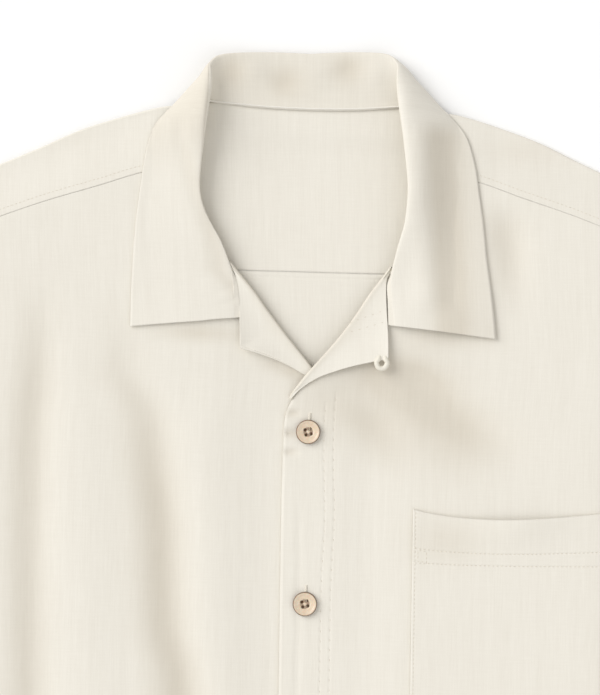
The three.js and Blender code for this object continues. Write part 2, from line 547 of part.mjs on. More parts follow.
const leftFront = frontGrid(1);
add("back", wall(backGrid()), finish.cloth);
add("yoke", wall(yokeGrid()), finish.cloth);
add("front_left", wall(leftFront), finish.cloth);
add("front_right", wall(frontGrid(-1)), finish.cloth);
add("lapel_left", wall(lapelGrid(1)), finish.facing);
add("lapel_right", wall(lapelGrid(-1)), finish.facing);
add("collar", wall(collarGrid()), finish.cloth);
add("sleeve_left", wall(sleeveGrid(1), { ring: true }), finish.cloth);
add("sleeve_right", wall(sleeveGrid(-1), { ring: true }), finish.cloth);
add("pocket", wall(pocketGrid(leftFront)), finish.cloth);
for (let i = 0; i < buttons.count; i++) {
  const y = buttons.first - i * buttons.pitch;
  const seat = Math.max(...[0, 1, 2, 3, 4, 5, 6, 7].map((k) => {
    const [dx, dy] = [Math.cos((k * Math.PI) / 4), Math.sin((k * Math.PI) / 4)].map((c) => c * button.radius);
    return facetZ(leftFront, dx, y + dy);
  }));
  const [x, yy] = lay([0, y, 0]);
  add(`button_${i + 1}`, buttonGeometry(), finish.button, [x, yy, seat + 0.5 * cloth.wall + cloth.seamGap]);
}
const corner = lapelGrid(1)[5].at(-1);
add("button_loop", loopGeometry(corner[2] - 0.5 * cloth.wall - loop.cord - cloth.seamGap), finish.facing);

export default shirt;
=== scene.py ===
import bpy
import bmesh
import math
from mathutils import Matrix, Vector


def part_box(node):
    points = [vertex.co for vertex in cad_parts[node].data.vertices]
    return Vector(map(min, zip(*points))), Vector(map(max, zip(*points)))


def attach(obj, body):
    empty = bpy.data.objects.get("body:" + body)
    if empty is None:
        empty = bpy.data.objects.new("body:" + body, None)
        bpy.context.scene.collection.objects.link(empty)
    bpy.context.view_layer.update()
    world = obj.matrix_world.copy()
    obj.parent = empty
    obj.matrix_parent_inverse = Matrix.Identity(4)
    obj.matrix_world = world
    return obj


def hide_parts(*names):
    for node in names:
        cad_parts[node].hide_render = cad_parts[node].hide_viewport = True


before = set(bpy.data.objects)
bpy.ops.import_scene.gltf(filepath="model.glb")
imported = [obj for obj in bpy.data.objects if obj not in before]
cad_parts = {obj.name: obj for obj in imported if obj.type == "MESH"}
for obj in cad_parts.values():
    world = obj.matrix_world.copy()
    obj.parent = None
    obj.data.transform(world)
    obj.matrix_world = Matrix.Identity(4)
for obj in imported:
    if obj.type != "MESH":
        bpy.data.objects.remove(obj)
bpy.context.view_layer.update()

# A cream camp shirt laid flat, seen from straight above.
# Cloth pieces are grids bent by the functions below, in millimetres of the shirt's own
# plan: y is 0 at the high point of the shoulder, and x runs out from the centre line.
mm = 0.001
print("shirt: frame loaded")

layout = {
    "originY": 373.2,
    "wall": 1.0,
    "seamGap": 0.3,
    "seamLine": 0.08,
    "layer": 1.6,
    "length": 785,
    "halfChest": 290,
    "halfHem": 287,
    "underarm": -300,
    "foldDepth": 2.1,
    "askew": 0.029,
}

heights = {
    "panel": 2.8, "dome": 4.0, "centre": 1.5, "dip": 0.5, "neck": 0.6,
    "overLeaf": 1.3, "underLeaf": 1.4, "floor": 0.5, "crossing": 3.1,
}

outline = {
    "shoulder": [
        (84, -3), (92, -2.6), (98, -1.6), (114, -5), (134, -11), (160, -20), (188, -33), (215, -45), (245, -58),
    ],
    "armhole": [
        (-58, 245), (-92, 240.5), (-131, 236.5), (-166, 235), (-201, 238), (-233, 246),
        (-262, 260.5), (-284, 276), (-300, 289.5),
    ],
    "yokeSeam": [(88, -44), (117, -49), (146, -58.5), (188, -72), (241, -92)],
    "roll": [
        (-104, 60.5), (-115, 51.5), (-129.5, 40), (-142, 31.5), (-155, 22), (-168, 11.5), (-181, 0.5),
        (-192, -8), (-204, -15), (-226, -16.8), (-262, -17.5),
    ],
    "centre": [
        (-100, 0), (-125, 1), (-160, 2), (-190, 1), (-226, -1.3), (-346, -3.6), (-466, -5), (-785, -5),
    ],
    "lapelRight": {
        "gorge": [(-0.1, 57.2, -109.6), (0, 52.3, -120.5), (0.4, 50.6, -168.6)],
        "lower": [
            (0.4, 50.6, -168.6), (0.42, 48.6, -169.8), (0.5, 41.4, -171.8), (0.6, 31, -175),
            (0.7, 21, -178.8), (0.8, 11.8, -183), (0.9, 2, -189), (1, -9, -198),
        ],
    },
    "lapelLeft": {
        "gorge": [(-0.1, 57.2, -109.6), (0, 52.3, -120.5), (0.4, 52.8, -174.2)],
        "lower": [
            (0.4, 52.8, -174.2), (0.5, 40.5, -176.8), (0.6, 27, -180.2), (0.7, 14.2, -184.5),
            (0.8, 3.6, -189), (0.9, -6.4, -196), (1, -14.4, -204.8),
        ],
    },
}

# Soft folds of the top layer: depth and half width, how far the ends fade, and the line that
# each one follows, as (y, x)
folds = [
    {"depth": -1.3, "width": 13, "fade": (110, 90),
     "line": [(-110, -186), (-300, -189), (-560, -182), (-700, -175)]},
    {"depth": -1.9, "width": 15, "fade": (170, 90),
     "line": [(-125, -142), (-161, -129), (-190, -126), (-214, -110), (-248, -103),
              (-295, -96), (-365, -91), (-400, -82), (-500, -74)]},
    {"depth": 0.6, "width": 20, "fade": (60, 90),
     "line": [(-190, -160), (-400, -148), (-640, -140)]},
    {"depth": 0.5, "width": 22, "fade": (60, 90),
     "line": [(-190, -72), (-400, -56), (-600, -46)]},
    {"depth": -1.3, "width": 15, "fade": (60, 90),
     "line": [(-430, -70), (-560, -62), (-735, -66)]},
    {"depth": -1.2, "width": 12, "fade": (30, 60),
     "line": [(-62, 138), (-90, 141), (-150, 144)]},
    {"depth": -1.8, "width": 27, "fade": (30, 40),
     "line": [(-168, 54), (-190, 78), (-215, 108), (-250, 138)]},
    {"depth": -0.9, "width": 16, "fade": (20, 45),
     "line": [(-205, 44), (-240, 60), (-262, 66)]},
    {"depth": -1.4, "width": 15, "fade": (60, 90),
     "line": [(-450, 62), (-600, 74), (-740, 70)]},
    {"depth": -1.2, "width": 14, "fade": (60, 90),
     "line": [(-210, 226), (-400, 232), (-600, 216), (-720, 212)]},
    {"depth": 0.5, "width": 22, "fade": (60, 90),
     "line": [(-455, 150), (-590, 146), (-740, 150)]},
    {"depth": -0.9, "width": 13, "fade": (16, 30),
     "line": [(-22, -158), (-38, -172)]},
]

# Places where the cloth dips without a fold and where shade is painted into its colour: place, half widths, how
# dark (which sets both the painted shade and the depth of the dip)
shades = [
    (66, -188, 32, 20, 0.85), (104, -240, 30, 22, 0.4), (16, -206, 26, 20, 0.55), (60, -226, 34, 20, 0.35),
    (-12, -214, 5, 3, 0.7), (-12, -228, 6, 3.2, 0.8), (-12, -241, 5, 3, 0.6), (98, -300, 24, 16, 0.5),
    (150, -26, 26, 10, 0.3), (92, -157, 30, 9, 0.6),
    (-80, -160, 26, 6, 0.8), (-26, -180, 9, 5, 0.6), (-14, -185, 9, 5, 0.8), (-4, -191, 7, 4, 0.6),
]


def clamp(x, low, high):
    return min(high, max(low, x))


def mix(a, b, t):
    return a + (b - a) * t


def smooth(a, b, x):
    t = clamp((x - a) / (b - a), 0, 1)
    return t * t * (3 - 2 * t)


def bell(x, width, y=0, height=1):
    # 1 in the middle, fading away over the width and, in the plan, the height
    return math.exp(-((x / width) ** 2) - (y / height) ** 2)


def through(rows):
    # a smooth curve through a table's rows
    k = [r[0] for r in rows]
    v = [r[1] for r in rows]
    last = len(k) - 1
    rising = k[last] > k[0]
    near = [(min(i + 1, last), max(i - 1, 0)) for i in range(last + 1)]
    slope = [(v[after] - v[before]) / (k[after] - k[before]) for after, before in near]
    low, high = min(k[0], k[last]), max(k[0], k[last])

    def value(at):
        x = clamp(at, low, high)
        i = 0
        while i < last - 1 and (x > k[i + 1] if rising else x < k[i + 1]):
            i += 1
        span = k[i + 1] - k[i]
        t = (x - k[i]) / span
        t2, t3 = t * t, t * t * t
        return ((2 * t3 - 3 * t2 + 1) * v[i] + (t3 - 2 * t2 + t) * span * slope[i]
                + (3 * t2 - 2 * t3) * v[i + 1] + (t3 - t2) * span * slope[i + 1])

    return value


cornerShare = 0.4


def lapelEdge(edge):
    # the free edge of a lapel: straight down the gorge to the corner, then a smooth curve to the break
    parts = {}
    for name, rows in edge.items():
        parts[name] = [through([(row[0], row[k]) for row in rows]) for k in (1, 2)]

    def at(share):
        x, y = parts["gorge"] if share <= cornerShare else parts["lower"]
        return x(share), y(share)

    return at


shoulderY = through(outline["shoulder"])
armholeX = through(outline["armhole"])
yokeSeamY = through(outline["yokeSeam"])
rollX = through(outline["roll"])
centreX = through(outline["centre"])
for fold in folds:
    fold["path"] = through(fold["line"])

shoulderTip = (245, -58)
cuffTop, cuffBottom = (450, -192), (362, -355)
bareWall = layout["wall"]
neckX = 86


def sideX(y):
    share = (layout["underarm"] - y) / (layout["length"] + layout["underarm"])
    return mix(layout["halfChest"], layout["halfHem"], share)


def lay(x, y, z):
    # the garment lies a little askew and its centre line wanders
    askew = smooth(-700, -150, y) * (1 - smooth(0, 35, y))
    wander = centreX(y) * (1 - smooth(0, 40, y + 100)) if abs(x) < layout["halfChest"] else 0
    return (x + wander * (1 - smooth(200, 280, abs(x))), y - layout["askew"] * x * askew, z)


def sideDistance(half, y):
    if y < layout["underarm"] and half < layout["halfChest"]:
        return sideX(y) - half
    dx, dy = cuffBottom[0] - layout["halfChest"], cuffBottom[1] - layout["underarm"]
    far = math.hypot(dx, dy)
    along = ((half - layout["halfChest"]) * dx + (y - layout["underarm"]) * dy) / far
    across = ((half - layout["halfChest"]) * -dy + (y - layout["underarm"]) * dx) / far
    return across if along > 0 else math.hypot(half - layout["halfChest"], y - layout["underarm"])


def topEdgeY(half):
    if half < shoulderTip[0]:
        return shoulderY(half)
    return mix(shoulderTip[1], cuffTop[1], (half - shoulderTip[0]) / (cuffTop[0] - shoulderTip[0]))


def foldEnds(fold, y):
    high, low = fold["line"][0][0] + 5, fold["line"][-1][0] - 5
    return smooth(high, high - fold["fade"][0], y) * smooth(low, low + 5 + fold["fade"][1], y)


def topZ(x, y):
    half = abs(x)
    inside = smooth(0, 60, sideDistance(half, y)) * smooth(0, 45, topEdgeY(half) - y)
    hem = mix(0.4, 1, smooth(-layout["length"], -layout["length"] + 140, y))
    neck = bell(half, 120, y + 90, 100)
    overLeaf = heights["overLeaf"] * smooth(-62, -22, y) * (1 - smooth(100, 136, half))
    z = mix(heights["centre"], heights["dome"], smooth(22, 75, half)) * hem + heights["neck"] * neck
    for f in folds:
        ends = foldEnds(f, y)
        if ends > 0:
            z += layout["foldDepth"] * f["depth"] * ends * bell(x - f["path"](y), f["width"])
    for px, py, wx, wy, dark in shades:
        if abs(x - px) < 3 * wx and abs(y - py) < 3 * wy:
            z -= heights["dip"] * dark * bell(x - px, wx, y - py, wy)
    return heights["panel"] + overLeaf + inside * z


deepestFold = 1.9


def paintedShadeAt(x, y):
    # painted shade at a point of the top layer, 0 to 1: on the side of each fold that faces away from the light,
    # and in the listed shades
    total = 0
    for f in folds:
        ends = foldEnds(f, y)
        if f["depth"] < 0 and ends > 0:
            shaded = bell(x - f["path"](y) + 0.45 * f["width"], 1.1 * f["width"])
            total -= f["depth"] / deepestFold * ends * shaded
    for px, py, wx, wy, dark in shades:
        total += dark * bell(x - px, wx, y - py, wy)
    return min(total, 1)


def frontZ(side, x, y):
    over = 1 - smooth(20, 48, x)
    crossing = heights["crossing"] * bell(x - 1, 19, y + 189, 15)
    return topZ(x, y) + (over * layout["layer"] + crossing if side > 0 else 0)


def yokeBackZ(x, y):
    return heights["floor"] + heights["underLeaf"] * smooth(-34, -16, y) * (1 - smooth(100, 124, abs(x)))


def roundFold(x, y, outX, outY, top, bottom, turn):
    radius = 0.5 * (top - bottom)
    reach = radius * (math.sin(math.pi * turn) - 1)
    return (x + outX * reach, y + outY * reach, bottom + radius * (1 + math.cos(math.pi * turn)))


def rowAt(rows, t):
    # one row of a table, between its rows
    t = clamp(t, 0, len(rows) - 1)
    i = min(int(t), len(rows) - 2)
    f = t - i
    p = [rows[clamp(k, 0, len(rows) - 1)] for k in (i - 1, i, i + 1, i + 2)]

    def value(a, b, c, d):
        square, cube = 2 * a - 5 * b + 4 * c - d, 3 * b - 3 * c + d - a
        return 0.5 * (2 * b + (c - a) * f + square * f * f + cube * f ** 3)

    return [value(*q) for q in zip(*p)]


clothLook = {
    "body": (0.794, 0.762, 0.688),
    "shade": (0.739, 0.704, 0.629),
    # painted shade: the darker, warmer colour that the base colour is multiplied towards where shade is painted
    "paintedShade": (0.868, 0.842, 0.804),
    "warp": {"scale": (1050, 42, 1), "detail": 3, "rough": 0.6},
    "weft": {"scale": (60, 900, 1), "detail": 2, "rough": 0.55},
    "broad": {"scale": (230, 9, 1), "detail": 2, "rough": 0.5},
    "cloud": {"scale": (14, 10, 1), "detail": 2, "rough": 0.5},
    "weftShare": 0.45, "broadShare": 0.55, "cloudShare": 0.25,
    "toneRange": (0.68, 1.32),
    "ribHeight": 0.20,
    "surface": {"Roughness": 0.88, "Specular IOR Level": 0.25, "Sheen Weight": 0.25, "Sheen Roughness": 0.5},
}


def addNode(tree, kind, **values):
    node = tree.nodes.new(kind)
    for name, value in values.items():
        if name in node.inputs:
            node.inputs[name].default_value = value
        else:
            setattr(node, name, value)
    return node


def addMaths(tree, operation, a, b, c=None):
    node = tree.nodes.new("ShaderNodeMath")
    node.operation = operation
    for i, value in enumerate((a, b) if c is None else (a, b, c)):
        if isinstance(value, (int, float)):
            node.inputs[i].default_value = value
        else:
            tree.links.new(value, node.inputs[i])
    return node.outputs[0]


def setInputs(node, values):
    for name, value in values.items():
        node.inputs[name].default_value = value


def addRange(tree, value, start, end, low=0.0, high=1.0, kind="SMOOTHSTEP"):
    node = addNode(tree, "ShaderNodeMapRange", interpolation_type=kind)
    setInputs(node, {"From Min": start, "From Max": end, "To Min": low, "To Max": high})
    tree.links.new(value, node.inputs["Value"])
    return node.outputs["Result"]


def addMix(tree, a, b, factor, blend="MIX"):
    # a and b are colours or sockets
    node = addNode(tree, "ShaderNodeMix", data_type="RGBA", blend_type=blend)
    for key, value in {"A": a, "B": b, "Factor": factor}.items():
        if isinstance(value, tuple):
            node.inputs[key].default_value = (*value, 1)
        else:
            tree.links.new(value, node.inputs[key])
    return node.outputs["Result"]


def addNoise(tree, coords, **values):
    node = addNode(tree, "ShaderNodeTexNoise", **values)
    tree.links.new(coords, node.inputs["Vector"])
    return node.outputs["Fac"]


def addBump(tree, shader, height):
    bump = addNode(tree, "ShaderNodeBump", Strength=1.0, Distance=mm)
    tree.links.new(height, bump.inputs["Height"])
    tree.links.new(bump.outputs["Normal"], shader.inputs["Normal"])


def newMaterial(name):
    material = bpy.data.materials.new(name)
    material.use_nodes = True
    return material, material.node_tree, material.node_tree.nodes["Principled BSDF"]


def ditchHeight(tree, uv, ditches):
    # a stitched row pulls a shallow ditch into the cloth, deeper at each stitch
    parts = tree.nodes.new("ShaderNodeSeparateXYZ")
    tree.links.new(uv, parts.inputs[0])
    total = 0.0
    for ditch in ditches:
        across, along = parts.outputs[0], parts.outputs[1]
        if ditch["runs"] == "across":
            across, along = along, across
        away = addMaths(tree, "ABSOLUTE", addMaths(tree, "SUBTRACT", across, ditch["at"] * mm), 0.0)
        near = addRange(tree, away, ditch["half"] * mm, 0.0)
        turns = addMaths(tree, "MULTIPLY", along, 2 * math.pi / (ditch["pitch"] * mm))
        pull = addMaths(tree, "MULTIPLY_ADD", addMaths(tree, "COSINE", turns, 0.0), 0.35, 0.65)
        begun = addMaths(tree, "GREATER_THAN", along, ditch["from"] * mm)
        inside = addMaths(tree, "MULTIPLY", begun, addMaths(tree, "LESS_THAN", along, ditch["to"] * mm))
        depth = addMaths(tree, "MULTIPLY", addMaths(tree, "MULTIPLY", near, pull), inside)
        total = addMaths(tree, "MULTIPLY_ADD", depth, -ditch["deep"], total)
    return total


def slubCloth(name, tint=1.0, ditches=()):
    # plain weave with slubs: fine ribs along the warp, fainter and longer ones across
    material, tree, shader = newMaterial(name)
    uv = addNode(tree, "ShaderNodeUVMap", uv_map="cloth").outputs["UV"]

    def slubs(kind):
        look = clothLook[kind]
        stretch = addNode(tree, "ShaderNodeMapping", Scale=look["scale"])
        tree.links.new(uv, stretch.inputs["Vector"])
        coords = stretch.outputs["Vector"]
        return addNoise(tree, coords, Scale=1.0, Detail=look["detail"], Roughness=look["rough"])

    both = addMaths(tree, "MULTIPLY_ADD", slubs("weft"), clothLook["weftShare"], slubs("warp"))
    full = addMaths(tree, "MULTIPLY_ADD", slubs("broad"), clothLook["broadShare"], both)
    tone = addRange(tree, full, *clothLook["toneRange"], kind="LINEAR")
    patch = addMaths(tree, "MULTIPLY_ADD", slubs("cloud"), clothLook["cloudShare"], tone)
    shade, body = (tuple(c * tint for c in clothLook[key]) for key in ("shade", "body"))
    colour = addMix(tree, shade, body, patch)
    # painted shade: the base colour is multiplied towards a darker, warmer colour by the painted-shade
    # attribute, on the shaded side of folds, in dips, under edges and across the rolls
    paintedShade = addNode(tree, "ShaderNodeAttribute", attribute_name="paintedShade")
    paintedShadeColour = addMix(tree, colour, clothLook["paintedShade"], paintedShade.outputs["Fac"], "MULTIPLY")
    tree.links.new(paintedShadeColour, shader.inputs["Base Color"])

    height = addMaths(tree, "MULTIPLY", full, clothLook["ribHeight"] * 0.35)
    if ditches:
        height = addMaths(tree, "ADD", height, ditchHeight(tree, uv, ditches))
    addBump(tree, shader, height)
    setInputs(shader, clothLook["surface"])
    return material


def ditch(runs, at, low, high, pitch=3.0, half=1.3, deep=0.16):
    return {"runs": runs, "at": at, "from": low, "to": high, "pitch": pitch, "half": half, "deep": deep}


hemRow = -770
placketRows = (11, 17.7)
pocketSewing = {"rows": (-305.5, -315.8), "sides": (76.2, 206.4), "corner": -412, "foot": -426}
clothMaterial = slubCloth("slubCloth")
facingMaterial = slubCloth("slubFacing", 1.02)
leftFrontMaterial = slubCloth("slubLeftFront", ditches=[
    ditch("up", placketRows[0], -780, -205, 7, 1.5, 0.22), ditch("up", placketRows[1], -780, -198, 7, 1.5, 0.22),
    ditch("up", -16.2, -780, -215, 3, 1.0, 0.08), ditch("across", hemRow, -17, 288),
])
rightFrontMaterial = slubCloth("slubRightFront", ditches=[ditch("across", hemRow, -288, 17)])
backMaterial = slubCloth("slubBack", ditches=[
    ditch("across", hemRow, -288, 288), ditch("across", -119, -240, 240),
])
pocketMaterial = slubCloth("slubPocket", ditches=[
    *[ditch("across", y, 74, 209, 3, 1.4, 0.2) for y in pocketSewing["rows"]],
    *[ditch("up", x, pocketSewing["corner"], -278) for x in pocketSewing["sides"]],
    ditch("across", pocketSewing["foot"], 90, 192),
])


def threadLook(name, colour):
    material, tree, shader = newMaterial(name)
    coords = addNode(tree, "ShaderNodeTexCoord")
    grain = addNoise(tree, coords.outputs["Object"], Scale=2500.0, Detail=2.0)
    tone = addMix(tree, tuple(c * 0.82 for c in colour), colour, grain)
    tree.links.new(tone, shader.inputs["Base Color"])
    setInputs(shader, {"Roughness": 0.6})
    return material


threadMaterial = threadLook("creamThread", (0.76, 0.70, 0.59))
print("shirt: cloth and thread materials made")


def scenePoint(x, y, z):
    # a point of the plan, laid down, in metres of the frame
    x, y, z = lay(x, y, z)
    return Vector((x * mm, (y + layout["originY"]) * mm, z * mm))


def linkObject(name, data, material=None):
    piece = bpy.data.objects.new(name, data)
    bpy.context.scene.collection.objects.link(piece)
    if material:
        data.materials.append(material)
    return piece


def shownMesh(piece):
    # what the piece looks like with its modifiers or bevel, as a mesh
    return bpy.data.meshes.new_from_object(piece.evaluated_get(bpy.context.evaluated_depsgraph_get()))


def meshOf(bm, name):
    mesh = bpy.data.meshes.new(name)
    bm.to_mesh(mesh)
    bm.free()
    return mesh


def clothPiece(name, place, grid, material, paintedShade, sheet, ring=False):
    # a grid whose points are moved to place(u, v); v runs along the rows and u across them
    bm = bmesh.new()
    bmesh.ops.create_grid(bm, x_segments=grid[0], y_segments=grid[1], size=0.5)
    uvLayer = bm.loops.layers.uv.new("cloth")
    plan = {}
    paintedShadeLayer = bm.verts.layers.float.new("paintedShade")
    for vert in bm.verts:
        u, v = clamp(vert.co.x + 0.5, 0, 1), clamp(vert.co.y + 0.5, 0, 1)
        point, uv = place(u, v)
        plan[vert.index] = uv
        # painted shade for each point, kept in a vertex attribute that darkens the cloth's colour
        vert[paintedShadeLayer] = paintedShade(point, u, v)
        vert.co = scenePoint(*point)
    for face in bm.faces:
        face.smooth = True
        for loop in face.loops:
            loop[uvLayer].uv = plan[loop.vert.index]
    if ring:
        bmesh.ops.remove_doubles(bm, verts=bm.verts, dist=1e-6)
    bmesh.ops.recalc_face_normals(bm, faces=bm.faces)
    piece = linkObject(name, meshOf(bm, name), material)
    wall = piece.modifiers.new("wall", "SOLIDIFY")
    wall.thickness = bareWall * mm
    wall.offset = 0
    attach(piece, "root")
    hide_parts(sheet["node"])
    print("shirt:", name, "made")
    return piece


def flatUv(x, y):
    return (x * mm, y * mm)


# The fronts' rows from the yoke down: x and y of the inner end (x is None on the roll), and y of
# the outer end
frontRows = [
    (90, -45.5, -92), (89.5, -62, -112), (82, -82, -131), (69, -101, -149), (None, -117, -166),
    (None, -129, -184), (None, -142, -201), (None, -155, -217), (None, -168, -233), (None, -181, -248),
    (None, -192, -262), (None, -204, -275), (None, -217, -288), (None, -234, -300), (None, -243, -309),
    (None, -256, -321),
]
frontLook = {
    "rowsToHem": 16, "turnLength": 30, "turnShare": 0.03, "turnRun": 3.6, "seamShare": 0.045,
    "lapelRadius": 1.3, "breakAt": -204,
}


def frontRowList():
    offset = 0.5 * bareWall + frontLook["lapelRadius"] + 2 * layout["seamGap"]
    rows = []
    for x, y, outer in frontRows:
        if x is not None:
            rows.append((x, y, outer))
        elif y < frontLook["breakAt"]:
            rows.append((rollX(y), y, outer))
        else:
            rows.append((rollX(y) + 0.8 * offset, y - 0.6 * offset, outer))
    lastX, lastY, lastOuter = rows[-1]
    for k in range(1, frontLook["rowsToHem"] + 1):
        t = k / frontLook["rowsToHem"]
        y = mix(lastY, -layout["length"], t)
        rows.append((rollX(y), y, mix(lastOuter, -layout["length"], t)))
    return rows


frontTable = frontRowList()


def frontPlace(side):
    top = heights["panel"]

    def place(u, v):
        innerX, innerY, outerY = rowAt(frontTable, v * (len(frontTable) - 1))
        onSide = outerY < layout["underarm"] - 0.001
        outerX = sideX(outerY) - 0.5 * bareWall if onSide else armholeX(outerY) - 0.5 * layout["seamGap"]
        turned = max(smooth(0, frontLook["turnLength"], layout["underarm"] - outerY), 1e-3)
        radius = 0.5 * (top - heights["floor"]) / turned
        foldX = outerX - radius * math.sin(math.pi * min(turned, 0.5))
        edge = 1 - frontLook["turnShare"]
        if u <= edge:
            share = u / edge
            x = side * mix(innerX, foldX, share)
            y = mix(innerY, outerY, share)
            if v < frontLook["seamShare"]:
                y = mix(yokeSeamY(abs(x)) - layout["seamLine"], y, smooth(0, frontLook["seamShare"], v))
            swing = placketBulge(y) * bell(x - 14, 14) if side > 0 else 0
            return (x, y, frontZ(side, x, y) + frontRelief(side, x, y)), flatUv(x - swing, y)
        w = (u - edge) / frontLook["turnShare"]
        angle = math.pi * w * turned
        x = side * (foldX + radius * math.sin(angle))
        z = (top if onSide else frontZ(side, x, outerY)) - radius * (1 - math.cos(angle))
        return (x, outerY, max(z, heights["floor"])), flatUv(side * (foldX + frontLook["turnRun"] * w), outerY)

    return place


def placketBulge(y):
    # the two rows swing out between the first buttons
    return 1.9 * bell(y + 285, 32)


placketPuckers = [(-214, -1.3), (-227.5, -1.5), (-241, -1.1)]
puckerWidth = 2.6


def frontRelief(side, x, y):
    # small creases that the solids leave out
    if side < 0:
        return 0.0
    crease = -0.5 * bell(x + 4.6, 1.7) * smooth(-255, -300, y)
    edge = smooth(-17.4, -15, x) * (1 - smooth(-11, -3, x))
    pucker = sum(depth * bell(y - at, puckerWidth) for at, depth in placketPuckers)
    return crease + edge * pucker


def backPlace(u, v):
    rows = [-115.1] + [r[2] for r in frontRows if layout["underarm"] < r[2] < -115] + [-299]
    rows += [mix(-306, -layout["length"], k / 8) for k in range(9)]
    (y,) = rowAt([(r,) for r in rows], v * (len(rows) - 1))
    reach = armholeX(y) - 0.15 if y > layout["underarm"] else sideX(y) - 2.3
    edge = min(reach, layout["halfChest"] - 2.7)
    x = mix(-edge, edge, u)
    return (x, y, heights["floor"]), flatUv(x, y)


lapelLook = {
    "ends": {1: 0.99, -1: 0.87}, "rollShare": 0.3, "tightTo": 0.45,
    "lift": 4.8, "liftAt": 0.46, "liftWidth": 0.24,
    "rimDepth": 0.4, "rimAt": 2.3, "rimWidth": 1.0,
}


def lapelPlace(side):
    last = lapelLook["ends"][side]
    edgeAt = lapelEdge(outline["lapelLeft"] if side > 0 else outline["lapelRight"])
    r = frontLook["lapelRadius"]

    def place(u, v):
        if v < cornerShare:
            s = mix(-0.1, cornerShare, v / cornerShare)
        else:
            s = mix(cornerShare, last, (v - cornerShare) / (1 - cornerShare))
        y = mix(-119, frontLook["breakAt"], s)
        rollAtX = rollX(y)
        edgeX, edgeY = edgeAt(s)
        width = math.hypot(edgeX - rollAtX, edgeY - y)
        out = ((edgeX - rollAtX) / width, (edgeY - y) / width)
        base = frontZ(side, side * (rollAtX + 2 * out[0]), y + 2 * out[1])
        bend = r * mix(1, lapelLook["tightTo"], smooth(0.84, 0.975, s))
        narrow = min(bend, 0.3 * width)
        start = min(narrow + 0.5 * bareWall, 0.85 * width)
        rollShare = lapelLook["rollShare"]
        if u < rollShare:
            turn = 1 - u / rollShare
            x, yy, z = roundFold(rollAtX, y, -out[0], -out[1], base + 2 * bend, base, turn)
            point = (side * (x + 0.5 * bareWall * out[0]), yy + 0.5 * bareWall * out[1], z)
            return point, flatUv(side * (rollAtX - 4 * turn), y)
        share = (u - rollShare) / (1 - rollShare)
        across = mix(start, width, share)
        x, yy = side * (rollAtX + across * out[0]), y + across * out[1]
        under = frontZ(side, x, yy)
        lift = lapelLook["lift"] * bell(s - lapelLook["liftAt"], lapelLook["liftWidth"])
        flat = under + layout["layer"] * mix(0.72, 1, bend / r)
        z = max(flat, mix(base + 2 * bend, under + layout["layer"] * bend / r, share)) + lift * share * share
        if side < 0:
            # the seam of the right lapel's lower edge leaves a thin rim
            rim = smooth(cornerShare, 0.44, s) * (1 - smooth(0.72, 0.8, s))
            inward = width * (1 - share) - lapelLook["rimAt"]
            z -= lapelLook["rimDepth"] * rim * bell(inward, lapelLook["rimWidth"])
        return (x, yy, z), flatUv(x, yy)

    return place


# The yoke's back: neck edge and outer edge of each row, from the shoulder to the centre
yokeLook = {
    "frontShare": 0.2, "turnShare": 0.1, "backFrom": 0.3, "backShare": 0.7,
    "turnRun": 2.6, "neckSlant": 2.5, "inset": 0.15, "endX": 244.4, "seamY": -115,
}
yokeBackRows = [
    (86, -6, 244.4, -60.6), (83, -6.4, armholeX(-73), -73), (79, -1.6, armholeX(-93), -93),
    (72, 1.4, armholeX(-115), -115), (60, 2.6, 200, -115), (48, 3.4, 162, -115), (36, 3, 122, -115),
    (24, 2.4, 80, -115), (12, 2, 40, -115), (0, 1.9, 0, -115),
]


def yokePlace(u, v):
    # v runs from one front seam over the shoulder, across the back, and down the other side
    side = -1 if v <= 0.5 else 1
    t = 1 - abs(2 * v - 1)
    if t < yokeLook["frontShare"]:
        share = 1 - t / yokeLook["frontShare"]
        neck = neckX + yokeLook["neckSlant"] * share
        guess = mix(neck, 243, u)
        y = mix(shoulderY(guess) - 4, yokeSeamY(guess) + layout["seamLine"], share)
        x = mix(neck, armholeX(y) - yokeLook["inset"], u)
        y = mix(shoulderY(x) - 4, yokeSeamY(x) + layout["seamLine"], share)
        return (side * x, y, topZ(side * x, y)), flatUv(side * x, y)
    if t < yokeLook["backFrom"]:
        share = (t - yokeLook["frontShare"]) / yokeLook["turnShare"]
        past = mix(yokeLook["turnRun"], -yokeLook["turnRun"], share)
        x = mix(neckX, yokeLook["endX"], u)
        top, bottom = topZ(side * x, shoulderY(x) - 4), yokeBackZ(x, shoulderY(x) - 4)
        radius = 0.5 * (top - bottom)
        quarter = 0.5 * math.pi * radius
        if abs(past) <= quarter:
            turn = 0.5 - 0.5 * past / quarter
            _, y, z = roundFold(x, shoulderY(x) - 0.5, 0, 1, top, bottom, turn)
            return (side * x, y, z), flatUv(side * x, shoulderY(x) - past)
        y = shoulderY(x) - 0.5 - radius - (abs(past) - quarter)
        z = topZ(side * x, y) if past > 0 else yokeBackZ(x, y)
        return (side * x, y, z), flatUv(side * x, shoulderY(x) - past)
    row = (t - yokeLook["backFrom"]) / yokeLook["backShare"] * (len(yokeBackRows) - 1)
    neck, neckY, endX, endY = rowAt(yokeBackRows, row)
    if row > 3:
        endY = yokeLook["seamY"]
    x = mix(neck, endX - yokeLook["inset"] * smooth(yokeLook["backFrom"], 0.35, t), u)
    y = mix(neckY, endY, u)
    return (side * x, y, yokeBackZ(x, y)), flatUv(side * x, y)


# A sleeve's ring: the shares of each layer and each fold, where the under side begins, and the
# armhole's y at the ends of a layer
sleeveLook = {"layerShare": 0.46, "foldShare": 0.04, "half": 0.5, "upper": -62, "lower": -296}


